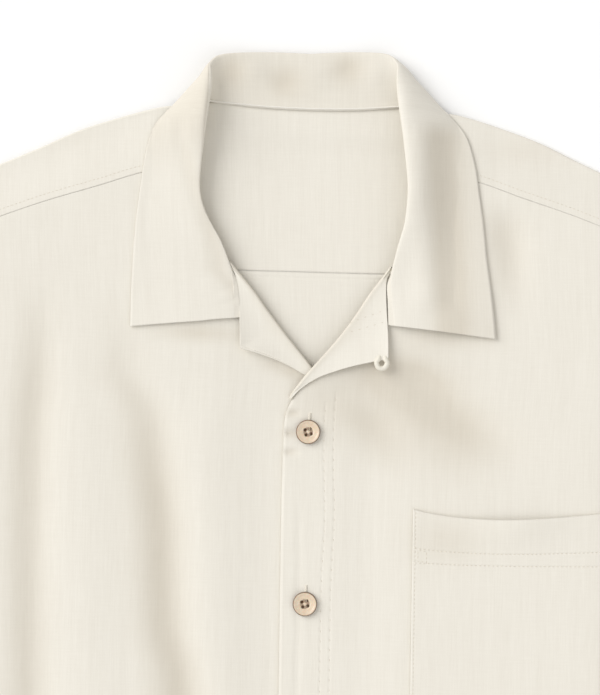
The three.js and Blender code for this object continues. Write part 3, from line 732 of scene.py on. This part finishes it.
def sleevePlace(side):
    top, bottom = heights["panel"], heights["floor"]
    layer, fold, half = sleeveLook["layerShare"], sleeveLook["foldShare"], sleeveLook["half"]

    def plan(y, v):
        w = (y - shoulderTip[1]) / (layout["underarm"] - shoulderTip[1])
        toX, toY = mix(cuffTop[0], cuffBottom[0], w), mix(cuffTop[1], cuffBottom[1], w)
        return mix(armholeX(y), toX, v), mix(y, toY, v)

    def outward(p, q, sign):
        far = math.hypot(q[0] - p[0], q[1] - p[1])
        return (sign * (p[1] - q[1]) / far, sign * (q[0] - p[0]) / far)

    outUpper = outward(shoulderTip, cuffTop, 1)
    outLower = outward((layout["halfChest"], layout["underarm"]), cuffBottom, -1)
    axis = math.atan2(cuffTop[1] - shoulderTip[1], cuffTop[0] - shoulderTip[0])

    def place(u, v):
        if u < layer:
            x, y = plan(mix(sleeveLook["upper"], sleeveLook["lower"], u / layer), v)
            z = topZ(x, y)
        elif u < half:
            x, y, z = roundFold(*plan(layout["underarm"], v), *outLower, top, bottom, (u - layer) / fold)
        elif u < half + layer:
            x, y = plan(mix(sleeveLook["lower"], sleeveLook["upper"], (u - half) / layer), v)
            z = bottom
        else:
            turn = 1 - (u - half - layer) / fold
            x, y, z = roundFold(*plan(shoulderTip[1], v), *outUpper, top, bottom, turn)
        alongX = x * math.cos(axis) + y * math.sin(axis)
        return (side * x, y, z), flatUv(side * alongX, y * math.cos(axis) - x * math.sin(axis))

    return place


# Collar sections from the leading edge round to the centre back: seam, roll, the control point of
# the fall and the outer edge, then the way the cloth turns at the roll, and how softly
collarRows = [
    (52.9, -150.4, 9.6, 57, -151, 9.9, 92, -154, 9.4, 127.5, -158.2, 7.0, 8, 1),
    (53, -135, 9.4, 56, -134.5, 10.4, 92, -134, 10.6, 126, -133, 7.0, 25, 1.2),
    (54.4, -119, 8.0, 56.2, -117, 11.6, 93, -113, 11.5, 123.4, -104, 7.0, 55, 1.6),
    (67.5, -104, 7.8, 61.5, -97, 14.2, 93, -90, 12.3, 121.2, -80, 6.9, 78, 3.2),
    (80.5, -86, 7.6, 69.4, -77, 17, 94, -68, 13.2, 118.2, -58, 6.9, 85, 5),
    (89, -62, 7.2, 72.6, -56, 19.5, 95, -46, 13.5, 115, -37, 6.9, 85, 6),
    (90, -29, 6.2, 69.8, -24, 20.5, 93, -16, 13.5, 109, -17.5, 6.3, 75, 6.5),
    (83.2, -4, 5.4, 66.6, 3, 20, 86, 4.5, 12, 98.5, -4.5, 5.6, 50, 6.5),
    (78.5, 1.2, 4.1, 66, 16, 18, 80.5, 18, 8, 91.5, 1.5, 2.6, 10, 6),
    (74.5, 2.2, 3.6, 66, 24, 15.5, 77, 23.5, 3.5, 86, 1, 0.7, -5, 5),
    (70, 2.2, 3.3, 65.2, 30.5, 12.5, 72.5, 28, 0.6, 79, -5, 0.5, -20, 3.4),
    (56, 0.6, 3.3, 56.6, 36.6, 7.4, 62, 30, 0.8, 60, -8.6, 0.5, -58, 2.6),
    (29, -1.5, 3.3, 30, 38.2, 3.4, 31, 22, 0.5, 31, -9, 0.5, -90, 2.4),
    (0, -2.1, 3.3, 0, 37.1, 3.2, 0, 22, 0.5, 0, -9, 0.5, -90, 2.4),
]
collarLook = {
    "standShare": 0.42, "standRun": 36, "fallRun": 62, "halfRun": 260,
    "shift": -4.5, "shiftFrom": -105, "shiftTo": -60,
    "lowSide": 0.45, "lowFrom": 8, "lead": 3.4, "easeRoll": 2.4, "easeEdge": 1.6,
    "ridge": 0.3, "crest": 2.4, "trough": (-2.6, -1.0), "band": -1.3, "crease": -0.7, "creasesAt": (-128, -138),
}


def cubic(a, b, c, d, t):
    m = 1 - t
    return m ** 3 * a + 3 * m * m * t * b + 3 * m * t * t * c + t ** 3 * d


# Dents and crests of the collar's stand: place in the plan, half widths, height
standDents = [
    (-55, 24, 9, 9, -1.3), (-38, 27, 8, 8, 1.0), (-17, 17, 10, 8, -1.3), (4, 24, 12, 8, 0.8),
    (27, 27, 9, 7, -1.2), (48, 24, 8, 8, 0.9),
]


def collarCreases(side, x, y):
    # two short creases near the leading edge on the wearer's right
    if side > 0:
        return 0.0
    spots = [y - at - 0.35 * (x + 55) for at in collarLook["creasesAt"]]
    return sum(collarLook["crease"] * bell(off, 2.4, x + 58, 9) for off in spots)


def besideRoll(x, y):
    # how far a point lies from the shaded line beside the roll on the wearer's right
    return x + rollX(min(y, -115)) + mix(36, 13, smooth(-20, -115, y))


def collarRelief(side, x, y, rise):
    # what the collar's sections leave out; rise runs over the stand from seam to roll
    if rise is not None:
        ridge = collarLook["ridge"] * bell(rise - 0.05, 0.03) if y > -12 else 0
        dents = sum(h * bell(x - cx, wx, y - cy, wy) for cx, cy, wx, wy, h in standDents)
        return ridge + collarCreases(side, x, y) * rise + dents
    along = smooth(-2, -22, y) * (1 - smooth(-128, -146, y))
    if side > 0:
        crest = collarLook["crest"] * bell(x - 80, 11)
        deep = mix(*collarLook["trough"], smooth(-60, -125, y))
        trough = deep * bell(x - mix(97, 104, smooth(-20, -120, y)), 11)
        return along * (crest + trough)
    return along * collarLook["band"] * bell(besideRoll(x, y), 6) + collarCreases(side, x, y)


def collarPaintedShade(point, u, v):
    # painted shade on the collar: a little over the whole stand and more in its dents; in the trough of the fall
    # and towards its outer edge on the wearer's left; on the fall near the back and beside the roll on the
    # wearer's right
    x, y, _ = point
    if u < collarLook["standShare"]:
        dents = [dent for dent in standDents if dent[4] < 0]
        dark = sum(bell(x - cx, wx * 1.3, y - cy, wy * 1.5) for cx, cy, wx, wy, _ in dents)
        return min(1, 0.25 + 0.8 * dark)
    along = smooth(-2, -22, y)
    if x > 0:
        trough = bell(x - mix(90, 97, smooth(-20, -120, y)), 13)
        return along * min(1, trough + 0.3 * smooth(80, 96, x))
    return max(0.75 * smooth(-60, 0, y), along * 0.5 * bell(besideRoll(x, y), 8))


def collarPlace(u, v):
    side = -1 if v <= 0.5 else 1
    t = (1 - abs(2 * v - 1)) * (len(collarRows) - 1)
    row = rowAt(collarRows, t)
    seam, roll, fall, edge = row[0:3], row[3:6], row[6:9], row[9:12]
    lean, softly = math.radians(row[12]), row[13]
    out = (fall[0] - roll[0], fall[1] - roll[1])
    far = math.hypot(*out) or 1
    turn = (out[0] / far * math.cos(lean), out[1] / far * math.cos(lean), math.sin(lean))
    before = [roll[k] - turn[k] * softly for k in range(3)]
    after = [roll[k] + turn[k] * softly for k in range(3)]
    rise = [mix(seam[k], roll[k], 0.4) for k in range(3)]
    split = collarLook["standShare"]
    if u < split:
        s = u / split
        x, y, z = (cubic(seam[k], rise[k], before[k], roll[k], s) for k in range(3))
        near, length = 1 - (1 - s) * 4 / 6, -(1 - s) * collarLook["standRun"]
        lead = 0.3 * s
    else:
        s = (u - split) / (1 - split)
        x, y, z = (cubic(roll[k], after[k], fall[k], edge[k], s) for k in range(3))
        near, length = 1 - s, s * collarLook["fallRun"]
        lead = 0.3 + 0.7 * math.sin(math.pi * s ** 1.2)
    z += collarRelief(side, side * x, y, s if u < split else None)
    pushed = smooth(collarLook["shiftFrom"], collarLook["shiftTo"], y) * near
    shift = collarLook["shift"] * pushed * smooth(30, 66, x)
    rests = x > neckX - 1.5 and y < shoulderY(x) - 2
    z = max(z, topZ(side * x, y) + layout["layer"] if rests else heights["floor"])
    # the collar stands up a little towards its leading edges
    z += collarLook["lead"] * bell(t, 1.3) * lead
    if side < 0 and t < 3:
        start = 1 - smooth(0, 3, t)
        ease = collarLook["easeRoll"] * start * (1 - smooth(53, 80, x))
        x, y = x - ease, y + ease + collarLook["easeEdge"] * start * smooth(53, 75, x)
    if side < 0 and z > collarLook["lowFrom"]:
        low = mix(1, collarLook["lowSide"], smooth(-2, -40, y))
        z = collarLook["lowFrom"] + (z - collarLook["lowFrom"]) * low
    around = t / (len(collarRows) - 1)
    if y < -10 and u >= split:
        return (side * x + shift, y, z), flatUv(side * x, y)
    return (side * x + shift, y, z), flatUv(side * mix(collarLook["halfRun"], 0, around), length - 200)


pocketLook = {
    "left": 74.3, "right": 208.3, "top": -278.3, "bottom": -428, "mitre": 16, "sag": 6.2, "gape": 3.2,
}


def pocketPoint(x, y):
    # a point of the pocket's wall over a point of its cut shape
    u = (x - pocketLook["left"]) / (pocketLook["right"] - pocketLook["left"])
    v = (y - pocketLook["top"]) / (pocketLook["bottom"] - pocketLook["top"])
    u, v = clamp(u, 0, 1), clamp(v, 0, 1)
    gape = pocketLook["gape"] * bell(u - 0.55, 0.22, v, 0.12)
    drop = -pocketLook["sag"] * math.sin(math.pi * u ** 0.8) * (1 - smooth(0.02, 0.34, v))
    return (x, y + drop, frontZ(1, x, y + drop) + layout["layer"] + gape)


def pocketPlace(u, v):
    y = mix(pocketLook["top"], pocketLook["bottom"], v)
    cut = max(0, pocketLook["bottom"] + pocketLook["mitre"] - y)
    x = mix(pocketLook["left"] + cut, pocketLook["right"] - cut, u)
    return pocketPoint(x, y), flatUv(x, y)


def foldPaintedShade(point, u, v):
    # painted shade on the top layer of the cloth, in folds and dips; none on the layers beneath
    x, y, z = point
    return paintedShadeAt(x, y) if z > 0.6 * heights["panel"] else 0


def rollPaintedShade(point, u, v):
    # painted shade across the roll of each lapel, fading out onto the lapel
    return 0.85 * (1 - smooth(0.1, 0.52, u))


clothPiece("backPanel", backPlace, (60, 120), backMaterial, foldPaintedShade,
           {"node": "back", "flat": (0.58, 0.675), "area": 0.369, "on": ["floor"]})
clothPiece("yokeCloth", yokePlace, (90, 400), clothMaterial, foldPaintedShade,
           {"node": "yoke", "flat": (0.49, 0.25), "area": 0.061, "on": ["backPanel"]})
clothPiece("frontLeft", frontPlace(1), (150, 300), leftFrontMaterial, foldPaintedShade,
           {"node": "front_left", "flat": (0.315, 0.745), "area": 0.204, "on": ["backPanel", "frontRight"]})
clothPiece("frontRight", frontPlace(-1), (150, 300), rightFrontMaterial, foldPaintedShade,
           {"node": "front_right", "flat": (0.315, 0.745), "area": 0.202, "on": ["backPanel"]})
clothPiece("lapelLeft", lapelPlace(1), (70, 110), facingMaterial, rollPaintedShade,
           {"node": "lapel_left", "slot": "facing", "flat": (0.056, 0.088), "area": 0.0019,
            "on": ["frontLeft"]})
clothPiece("lapelRight", lapelPlace(-1), (140, 110), facingMaterial, rollPaintedShade,
           {"node": "lapel_right", "slot": "facing", "flat": (0.056, 0.088), "area": 0.0018,
            "on": ["frontRight"]})
clothPiece("collarCloth", collarPlace, (100, 480), clothMaterial, collarPaintedShade,
           {"node": "collar", "flat": (0.105, 0.47), "area": 0.037,
            "on": ["yokeCloth", "frontLeft", "frontRight"]})
clothPiece("sleeveLeft", sleevePlace(1), (220, 60), clothMaterial, foldPaintedShade,
           {"node": "sleeve_left", "flat": (0.44, 0.25), "area": 0.070, "on": ["floor"]}, ring=True)
clothPiece("sleeveRight", sleevePlace(-1), (220, 60), clothMaterial, foldPaintedShade,
           {"node": "sleeve_right", "flat": (0.44, 0.25), "area": 0.071, "on": ["floor"]}, ring=True)
clothPiece("chestPocket", pocketPlace, (120, 120), pocketMaterial, foldPaintedShade,
           {"node": "pocket", "flat": (0.134, 0.147), "area": 0.019, "on": ["frontLeft"]})

sewing = {
    "thick": 0.42, "stitch": 2.0, "pitch": 3.0, "pick": 7.0, "pickStitch": 1.6, "lapelPitch": 5.5,
}


def lineOf(points, pitch):
    # evenly spaced places and headings along a line of points
    spots, carried = [], 0.5 * pitch
    for p, q in zip(points, points[1:]):
        step = Vector(q) - Vector(p)
        far = step.length
        while carried <= far and far > 0:
            spots.append((Vector(p) + step * (carried / far), step.normalized()))
            carried += pitch
        carried -= far
    return spots


def addBead(bm, spot, size, turn=Matrix()):
    # one stitch or bar: a ball stretched to its half sizes
    at = Matrix.Translation((spot[0], spot[1] + layout["originY"], spot[2]))
    place = Matrix.Diagonal((mm, mm, mm, 1)) @ at @ turn @ Matrix.Diagonal((*size, 1))
    bmesh.ops.create_icosphere(bm, subdivisions=1, radius=1, matrix=place)


def threadPiece(name, bm, material):
    for face in bm.faces:
        face.smooth = True
    piece = linkObject(name, meshOf(bm, name), material)
    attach(piece, "root")


def sewRows(name, rows, pitch=sewing["pitch"], stitch=sewing["stitch"]):
    # each row is a line of points on the top of the cloth, in millimetres, before it is laid
    bm = bmesh.new()
    size = (stitch / 2, sewing["thick"] / 2, sewing["thick"] / 2)
    for points in rows:
        for spot, heading in lineOf([lay(*p) for p in points], pitch):
            addBead(bm, spot, size, heading.to_track_quat("X", "Z").to_matrix().to_4x4())
    threadPiece(name, bm, threadMaterial)


def steps(low, high, count):
    return [mix(low, high, k / count) for k in range(count + 1)]


topOfWall = 0.5 * layout["wall"] + 0.02


def onFront(side, x, y):
    return (side * x, y, frontZ(side, side * x, y) + frontRelief(side, side * x, y) + topOfWall)


def onPocket(x, y):
    px, py, pz = pocketPoint(x, y)
    return (px, py, pz + topOfWall)


lapelSpots = []
leftLapel = lapelPlace(1)
for u in steps(lapelLook["rollShare"], 1, 40):
    for v in steps(0, 1, 60):
        lapelSpots.append(leftLapel(u, v)[0])


def onLapel(x, y):
    near = min(lapelSpots, key=lambda q: (q[0] - x) ** 2 + (q[1] - y) ** 2)
    return (x, y, near[2] + topOfWall)


sewRows("placketStitches", [
    [onFront(1, row + placketBulge(y), y) for y in steps(top, -776, 140)]
    for row, top in zip(placketRows, (-208, -200))
], sewing["pick"], sewing["pickStitch"])
sewRows("lapelStitches", [
    [onLapel(mix(49.8, 25.9, t), mix(-140.5, -149.4, t)) for t in steps(0, 1, 12)],
    [onLapel(mix(51, 22, t), mix(-148, -157.4, t)) for t in steps(0, 1, 12)],
], sewing["lapelPitch"], sewing["pickStitch"])
for side, name in ((1, "Left"), (-1, "Right")):
    alongYoke = [(side * x, yokeSeamY(x) + 5) for x in steps(97, 239, 60)]
    sewRows("yokeStitches" + name, [[(x, y, topZ(x, y) + topOfWall) for x, y in alongYoke]])
    sewRows("hemStitches" + name, [
        [onFront(side, x, hemRow) for x in steps(-10 if side > 0 else 18, 284, 60)],
    ])
    sewRows("armholeStitches" + name, [
        [onFront(side, armholeX(y) - 5, y) for y in steps(-98, -292, 60)],
    ])
leftX, rightX = pocketSewing["sides"]
corner, foot = pocketSewing["corner"], pocketSewing["foot"]
pocketBox = [(78.2, -306.6), (84.2, -306.9), (84.2, -315), (78.2, -314.6), (78.2, -306.6)]
sewRows("pocketStitches", [
    *[[onPocket(x, y) for x in steps(75, 207.5, 40)] for y in pocketSewing["rows"]],
    *[[onPocket(x, y) for y in steps(-279, corner, 40)] for x in (leftX, rightX)],
    [onPocket(mix(leftX, 90.4, t), mix(corner, foot, t)) for t in steps(0, 1, 6)],
    [onPocket(x, foot) for x in steps(91, 192, 30)],
    [onPocket(mix(192, rightX, t), mix(foot, corner, t)) for t in steps(0, 1, 6)],
    [onPocket(x, y) for x, y in pocketBox],
])


def newCord(name, radius, roundness):
    curve = bpy.data.curves.new(name, "CURVE")
    curve.dimensions = "3D"
    curve.bevel_depth = radius * mm
    curve.bevel_resolution = roundness
    curve.use_fill_caps = True
    return curve


def cordPiece(name, curve, material):
    shape = linkObject(name + "Shape", curve)
    mesh = shownMesh(shape)
    bpy.data.objects.remove(shape)
    mesh.materials.clear()
    return linkObject(name, mesh, material)


ridgeLook = {"from": 0.27, "to": 0.73, "aboveSeam": 0.02, "back": 0.9, "up": 0.3, "radius": 0.6}


def seamRidge():
    # the allowance turned up inside the neck seam shows as a thin ridge
    curve = newCord("neckRidge", ridgeLook["radius"], 3)
    line = []
    for v in steps(ridgeLook["from"], ridgeLook["to"], 80):
        x, y, z = collarPlace(ridgeLook["aboveSeam"], v)[0]
        line.append(scenePoint(x, y - ridgeLook["back"], z + ridgeLook["up"]))
    spline = curve.splines.new("POLY")
    spline.points.add(len(line) - 1)
    for point, place in zip(spline.points, line):
        point.co = (*place, 1)
    piece = cordPiece("neckRidge", curve, seamMaterial)
    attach(piece, "root")


seamMaterial = threadLook("seamCloth", (0.88, 0.85, 0.78))
seamRidge()
print("shirt: stitched rows sewn")

buttonLook = {
    "rows": [("button_%d" % (k + 1), -226.5 - 120 * k) for k in range(5)],
    "hole": 1.15, "holeAt": 1.8, "spins": 72, "tilt": 12, "seatRadius": 8, "seatGap": 0.15,
    "threadShadeDisc": 3.4, "threadShadeDiscThick": 0.1, "threadShadeDiscBelow": 0.07,
    "profile": [(0, 0), (7.9, 0), (8.35, 0.35), (8.5, 0.9), (8.5, 2.1), (8.3, 2.65), (7.9, 2.9), (7.4, 2.86),
                (6.7, 2.5), (5.6, 2.1), (4.6, 1.98), (4.0, 1.9), (3.5, 1.6), (2.8, 1.5), (0, 1.5)],
    "pale": (0.76, 0.65, 0.50), "warm": (0.66, 0.49, 0.35), "rim": (0.17, 0.10, 0.06),
    "surface": {"Roughness": 0.34, "Subsurface Weight": 0.08, "Subsurface Scale": 0.001, "Coat Weight": 0.15},
}


def shellLook():
    # pale shell with fine specks, brown at the rim and round the holes
    material, tree, shader = newMaterial("buttonShell")
    place = addNode(tree, "ShaderNodeUVMap", uv_map="face").outputs["UV"]
    parts = addNode(tree, "ShaderNodeSeparateXYZ")
    tree.links.new(place, parts.inputs[0])
    squares = [addMaths(tree, "POWER", parts.outputs[k], 2.0) for k in (0, 1)]
    radius = addMaths(tree, "SQRT", addMaths(tree, "ADD", *squares), 0.0)
    blur = addNoise(tree, place, Scale=0.35, Detail=3.0)
    specks = addNoise(tree, place, Scale=2.6, Detail=2.0)
    mixed = addMaths(tree, "MULTIPLY_ADD", specks, 0.9, addMaths(tree, "MULTIPLY_ADD", blur, 1.6, -0.62))
    tone = addMix(tree, buttonLook["warm"], buttonLook["pale"], mixed)
    rim = addRange(tree, radius, 7.5, 8.2)
    heart = addRange(tree, radius, 3.7, 2.9, 0.0, 0.7)
    centre = addRange(tree, radius, 1.5, 0.8, 1.0, 0.0)
    dark = addMaths(tree, "MAXIMUM", rim, addMaths(tree, "MULTIPLY", heart, centre))
    tree.links.new(addMix(tree, tone, buttonLook["rim"], dark), shader.inputs["Base Color"])
    setInputs(shader, buttonLook["surface"])
    addBump(tree, shader, addMaths(tree, "MULTIPLY", specks, 0.05))
    return material


shellMaterial = shellLook()


def addDisc(bm, radius, depth, segments, at):
    bmesh.ops.create_cone(bm, cap_ends=True, segments=segments, radius1=radius, radius2=radius,
                          depth=depth, matrix=Matrix.Translation(at))


def turnedButton(name, y):
    low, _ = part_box(name)
    ring = buttonLook["seatRadius"]
    under = [frontZ(1, ring * math.cos(a), y + ring * math.sin(a)) for a in steps(0, 2 * math.pi, 16)]
    seat = max(under) + 0.5 * layout["wall"] + buttonLook["seatGap"]
    bm = bmesh.new()
    line = [bm.verts.new((x, 0, z)) for x, z in buttonLook["profile"]]
    edges = [bm.edges.new(pair) for pair in zip(line, line[1:])]
    bmesh.ops.spin(bm, geom=line + edges, cent=(0, 0, 0), axis=(0, 0, 1), angle=2 * math.pi,
                   steps=buttonLook["spins"], use_merge=True)
    bmesh.ops.remove_doubles(bm, verts=bm.verts, dist=1e-4)
    bmesh.ops.recalc_face_normals(bm, faces=bm.faces)
    uvLayer = bm.loops.layers.uv.new("face")
    for face in bm.faces:
        face.smooth = True
        for loop in face.loops:
            loop[uvLayer].uv = loop.vert.co.xy
    piece = linkObject(name + "Shell", meshOf(bm, name + "Shell"), shellMaterial)
    drill = bmesh.new()
    for sx in (-1, 1):
        for sy in (-1, 1):
            at = (sx * buttonLook["holeAt"], sy * buttonLook["holeAt"], 1)
            addDisc(drill, buttonLook["hole"], 6, 20, at)
    drillObject = linkObject("drill", meshOf(drill, "drill"))
    cut = piece.modifiers.new("holes", "BOOLEAN")
    cut.operation, cut.object, cut.solver = "DIFFERENCE", drillObject, "EXACT"
    cutMesh = shownMesh(piece)
    piece.modifiers.clear()
    piece.data = cutMesh
    bpy.data.objects.remove(drillObject)
    tilt = Matrix.Rotation(math.radians(buttonLook["tilt"]), 4, "Z")
    place = Matrix.Translation(scenePoint(0, y, seat))
    cutMesh.transform(place @ tilt @ Matrix.Diagonal((mm, mm, mm, 1)))
    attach(piece, "root")
    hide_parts(name)
    print("shirt:", name, "seat %.2f, its solid %.2f" % (seat, low[2] / mm))
    return seat


# The satin bars of a buttonhole: they begin above the button and run on under it
holeLook = {"bars": 40, "above": 12.9, "step": 0.42, "x": 0.6, "rise": 0.08, "halfSizes": (1.35, 0.27, 0.42)}

threads = bmesh.new()
threadShadeDiscs = bmesh.new()
for name, y in buttonLook["rows"]:
    seat = turnedButton(name, y)
    # a dark disc under each button shows through its holes: partly the thread it is sewn with, partly painted
    # shade in the holes
    at = scenePoint(0, y, seat - buttonLook["threadShadeDiscBelow"])
    addDisc(threadShadeDiscs, buttonLook["threadShadeDisc"] * mm, buttonLook["threadShadeDiscThick"] * mm, 24, at)
    for k in range(holeLook["bars"]):
        barX, barY = holeLook["x"], y + holeLook["above"] - holeLook["step"] * k
        barZ = frontZ(1, barX, barY) + 0.5 * layout["wall"] + holeLook["rise"]
        addBead(threads, lay(barX, barY, barZ), holeLook["halfSizes"])
threadPiece("buttonholes", threads, threadLook("satinThread", (0.90, 0.85, 0.75)))

# the dark disc under the buttons: thread colour and painted shade of the holes
darkThreadAndShade = threadLook("darkThreadAndShade", (0.17, 0.10, 0.055))
threadShadePiece = linkObject("buttonThreadAndHoleShade", meshOf(threadShadeDiscs, "buttonThreadAndHoleShade"), darkThreadAndShade)
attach(threadShadePiece, "root")

loopLook = {"cord": 1.8, "out": 6.4, "halfWidth": 3.7, "x": 48.4, "top": -174.6, "belowLapel": 0.3}


def cordLoop():
    curve = newCord("cornerLoop", loopLook["cord"], 6)
    curve.resolution_u = 10
    spline = curve.splines.new("BEZIER")
    w, out = loopLook["halfWidth"], loopLook["out"]
    route = [
        (-1.9, 2.4, -1.7), (-2.3, 0.5, 0), (-w, -2.4, 0.2), (0, -out, 0),
        (w, -2.4, 0.2), (2.3, 0.5, 0), (1.9, 2.4, -1.7),
    ]
    spline.bezier_points.add(len(route) - 1)
    corner = leftLapel(1, cornerShare)[0][2] - loopLook["belowLapel"]
    for point, (dx, dy, dz) in zip(spline.bezier_points, route):
        point.co = scenePoint(loopLook["x"] + dx, loopLook["top"] + dy, corner + dz)
        point.handle_left_type = point.handle_right_type = "AUTO"
    piece = cordPiece("cornerLoop", curve, cordMaterial)
    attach(piece, "root")
    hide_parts("button_loop")


cordMaterial = threadLook("loopCord", (0.84, 0.80, 0.70))
cordLoop()
print("shirt: buttons, buttonholes and loop made")

view = {"x": -7.0, "y": -167.65, "height": 2.0, "frameHeight": 486.5, "sensor": 36}
camera = bpy.data.cameras.new("camera")
camera.sensor_width = view["sensor"]
camera.lens = view["sensor"] * view["height"] / (view["frameHeight"] * mm)
cameraObject = linkObject("camera", camera)
cameraObject.location = (view["x"] * mm, (view["y"] + layout["originY"]) * mm, view["height"])
bpy.context.scene.camera = cameraObject

floorLook = {"size": 6.0, "colour": (0.93, 0.93, 0.93)}
bm = bmesh.new()
bmesh.ops.create_grid(bm, x_segments=1, y_segments=1, size=floorLook["size"] / 2)
floorMaterial, _, floorShader = newMaterial("floorPaper")
setInputs(floorShader, {"Base Color": (*floorLook["colour"], 1), "Roughness": 0.9})
floor = linkObject("floor", meshOf(bm, "floor"), floorMaterial)

lightLook = {
    "world": 0.545, "worldColour": (1.0, 0.985, 0.96),
    "suns": [
        {"name": "keyLight", "energy": 2.25, "spread": 48, "from": (-0.80, 0.42, 0.62)},
        {"name": "fillLight", "energy": 0.75, "spread": 70, "from": (0.45, -0.62, 0.65)},
    ],
}
world = bpy.data.worlds.new("softRoom")
world.use_nodes = True
setInputs(world.node_tree.nodes["Background"],
          {"Color": (*lightLook["worldColour"], 1), "Strength": lightLook["world"]})
bpy.context.scene.world = world
for look in lightLook["suns"]:
    sun = bpy.data.lights.new(look["name"], "SUN")
    sun.energy = look["energy"]
    sun.angle = math.radians(look["spread"])
    sunObject = linkObject(look["name"], sun)
    sunObject.rotation_euler = Vector(look["from"]).to_track_quat("Z", "Y").to_euler()
bpy.context.scene.view_settings.view_transform = "Standard"
print("shirt: camera and light set")
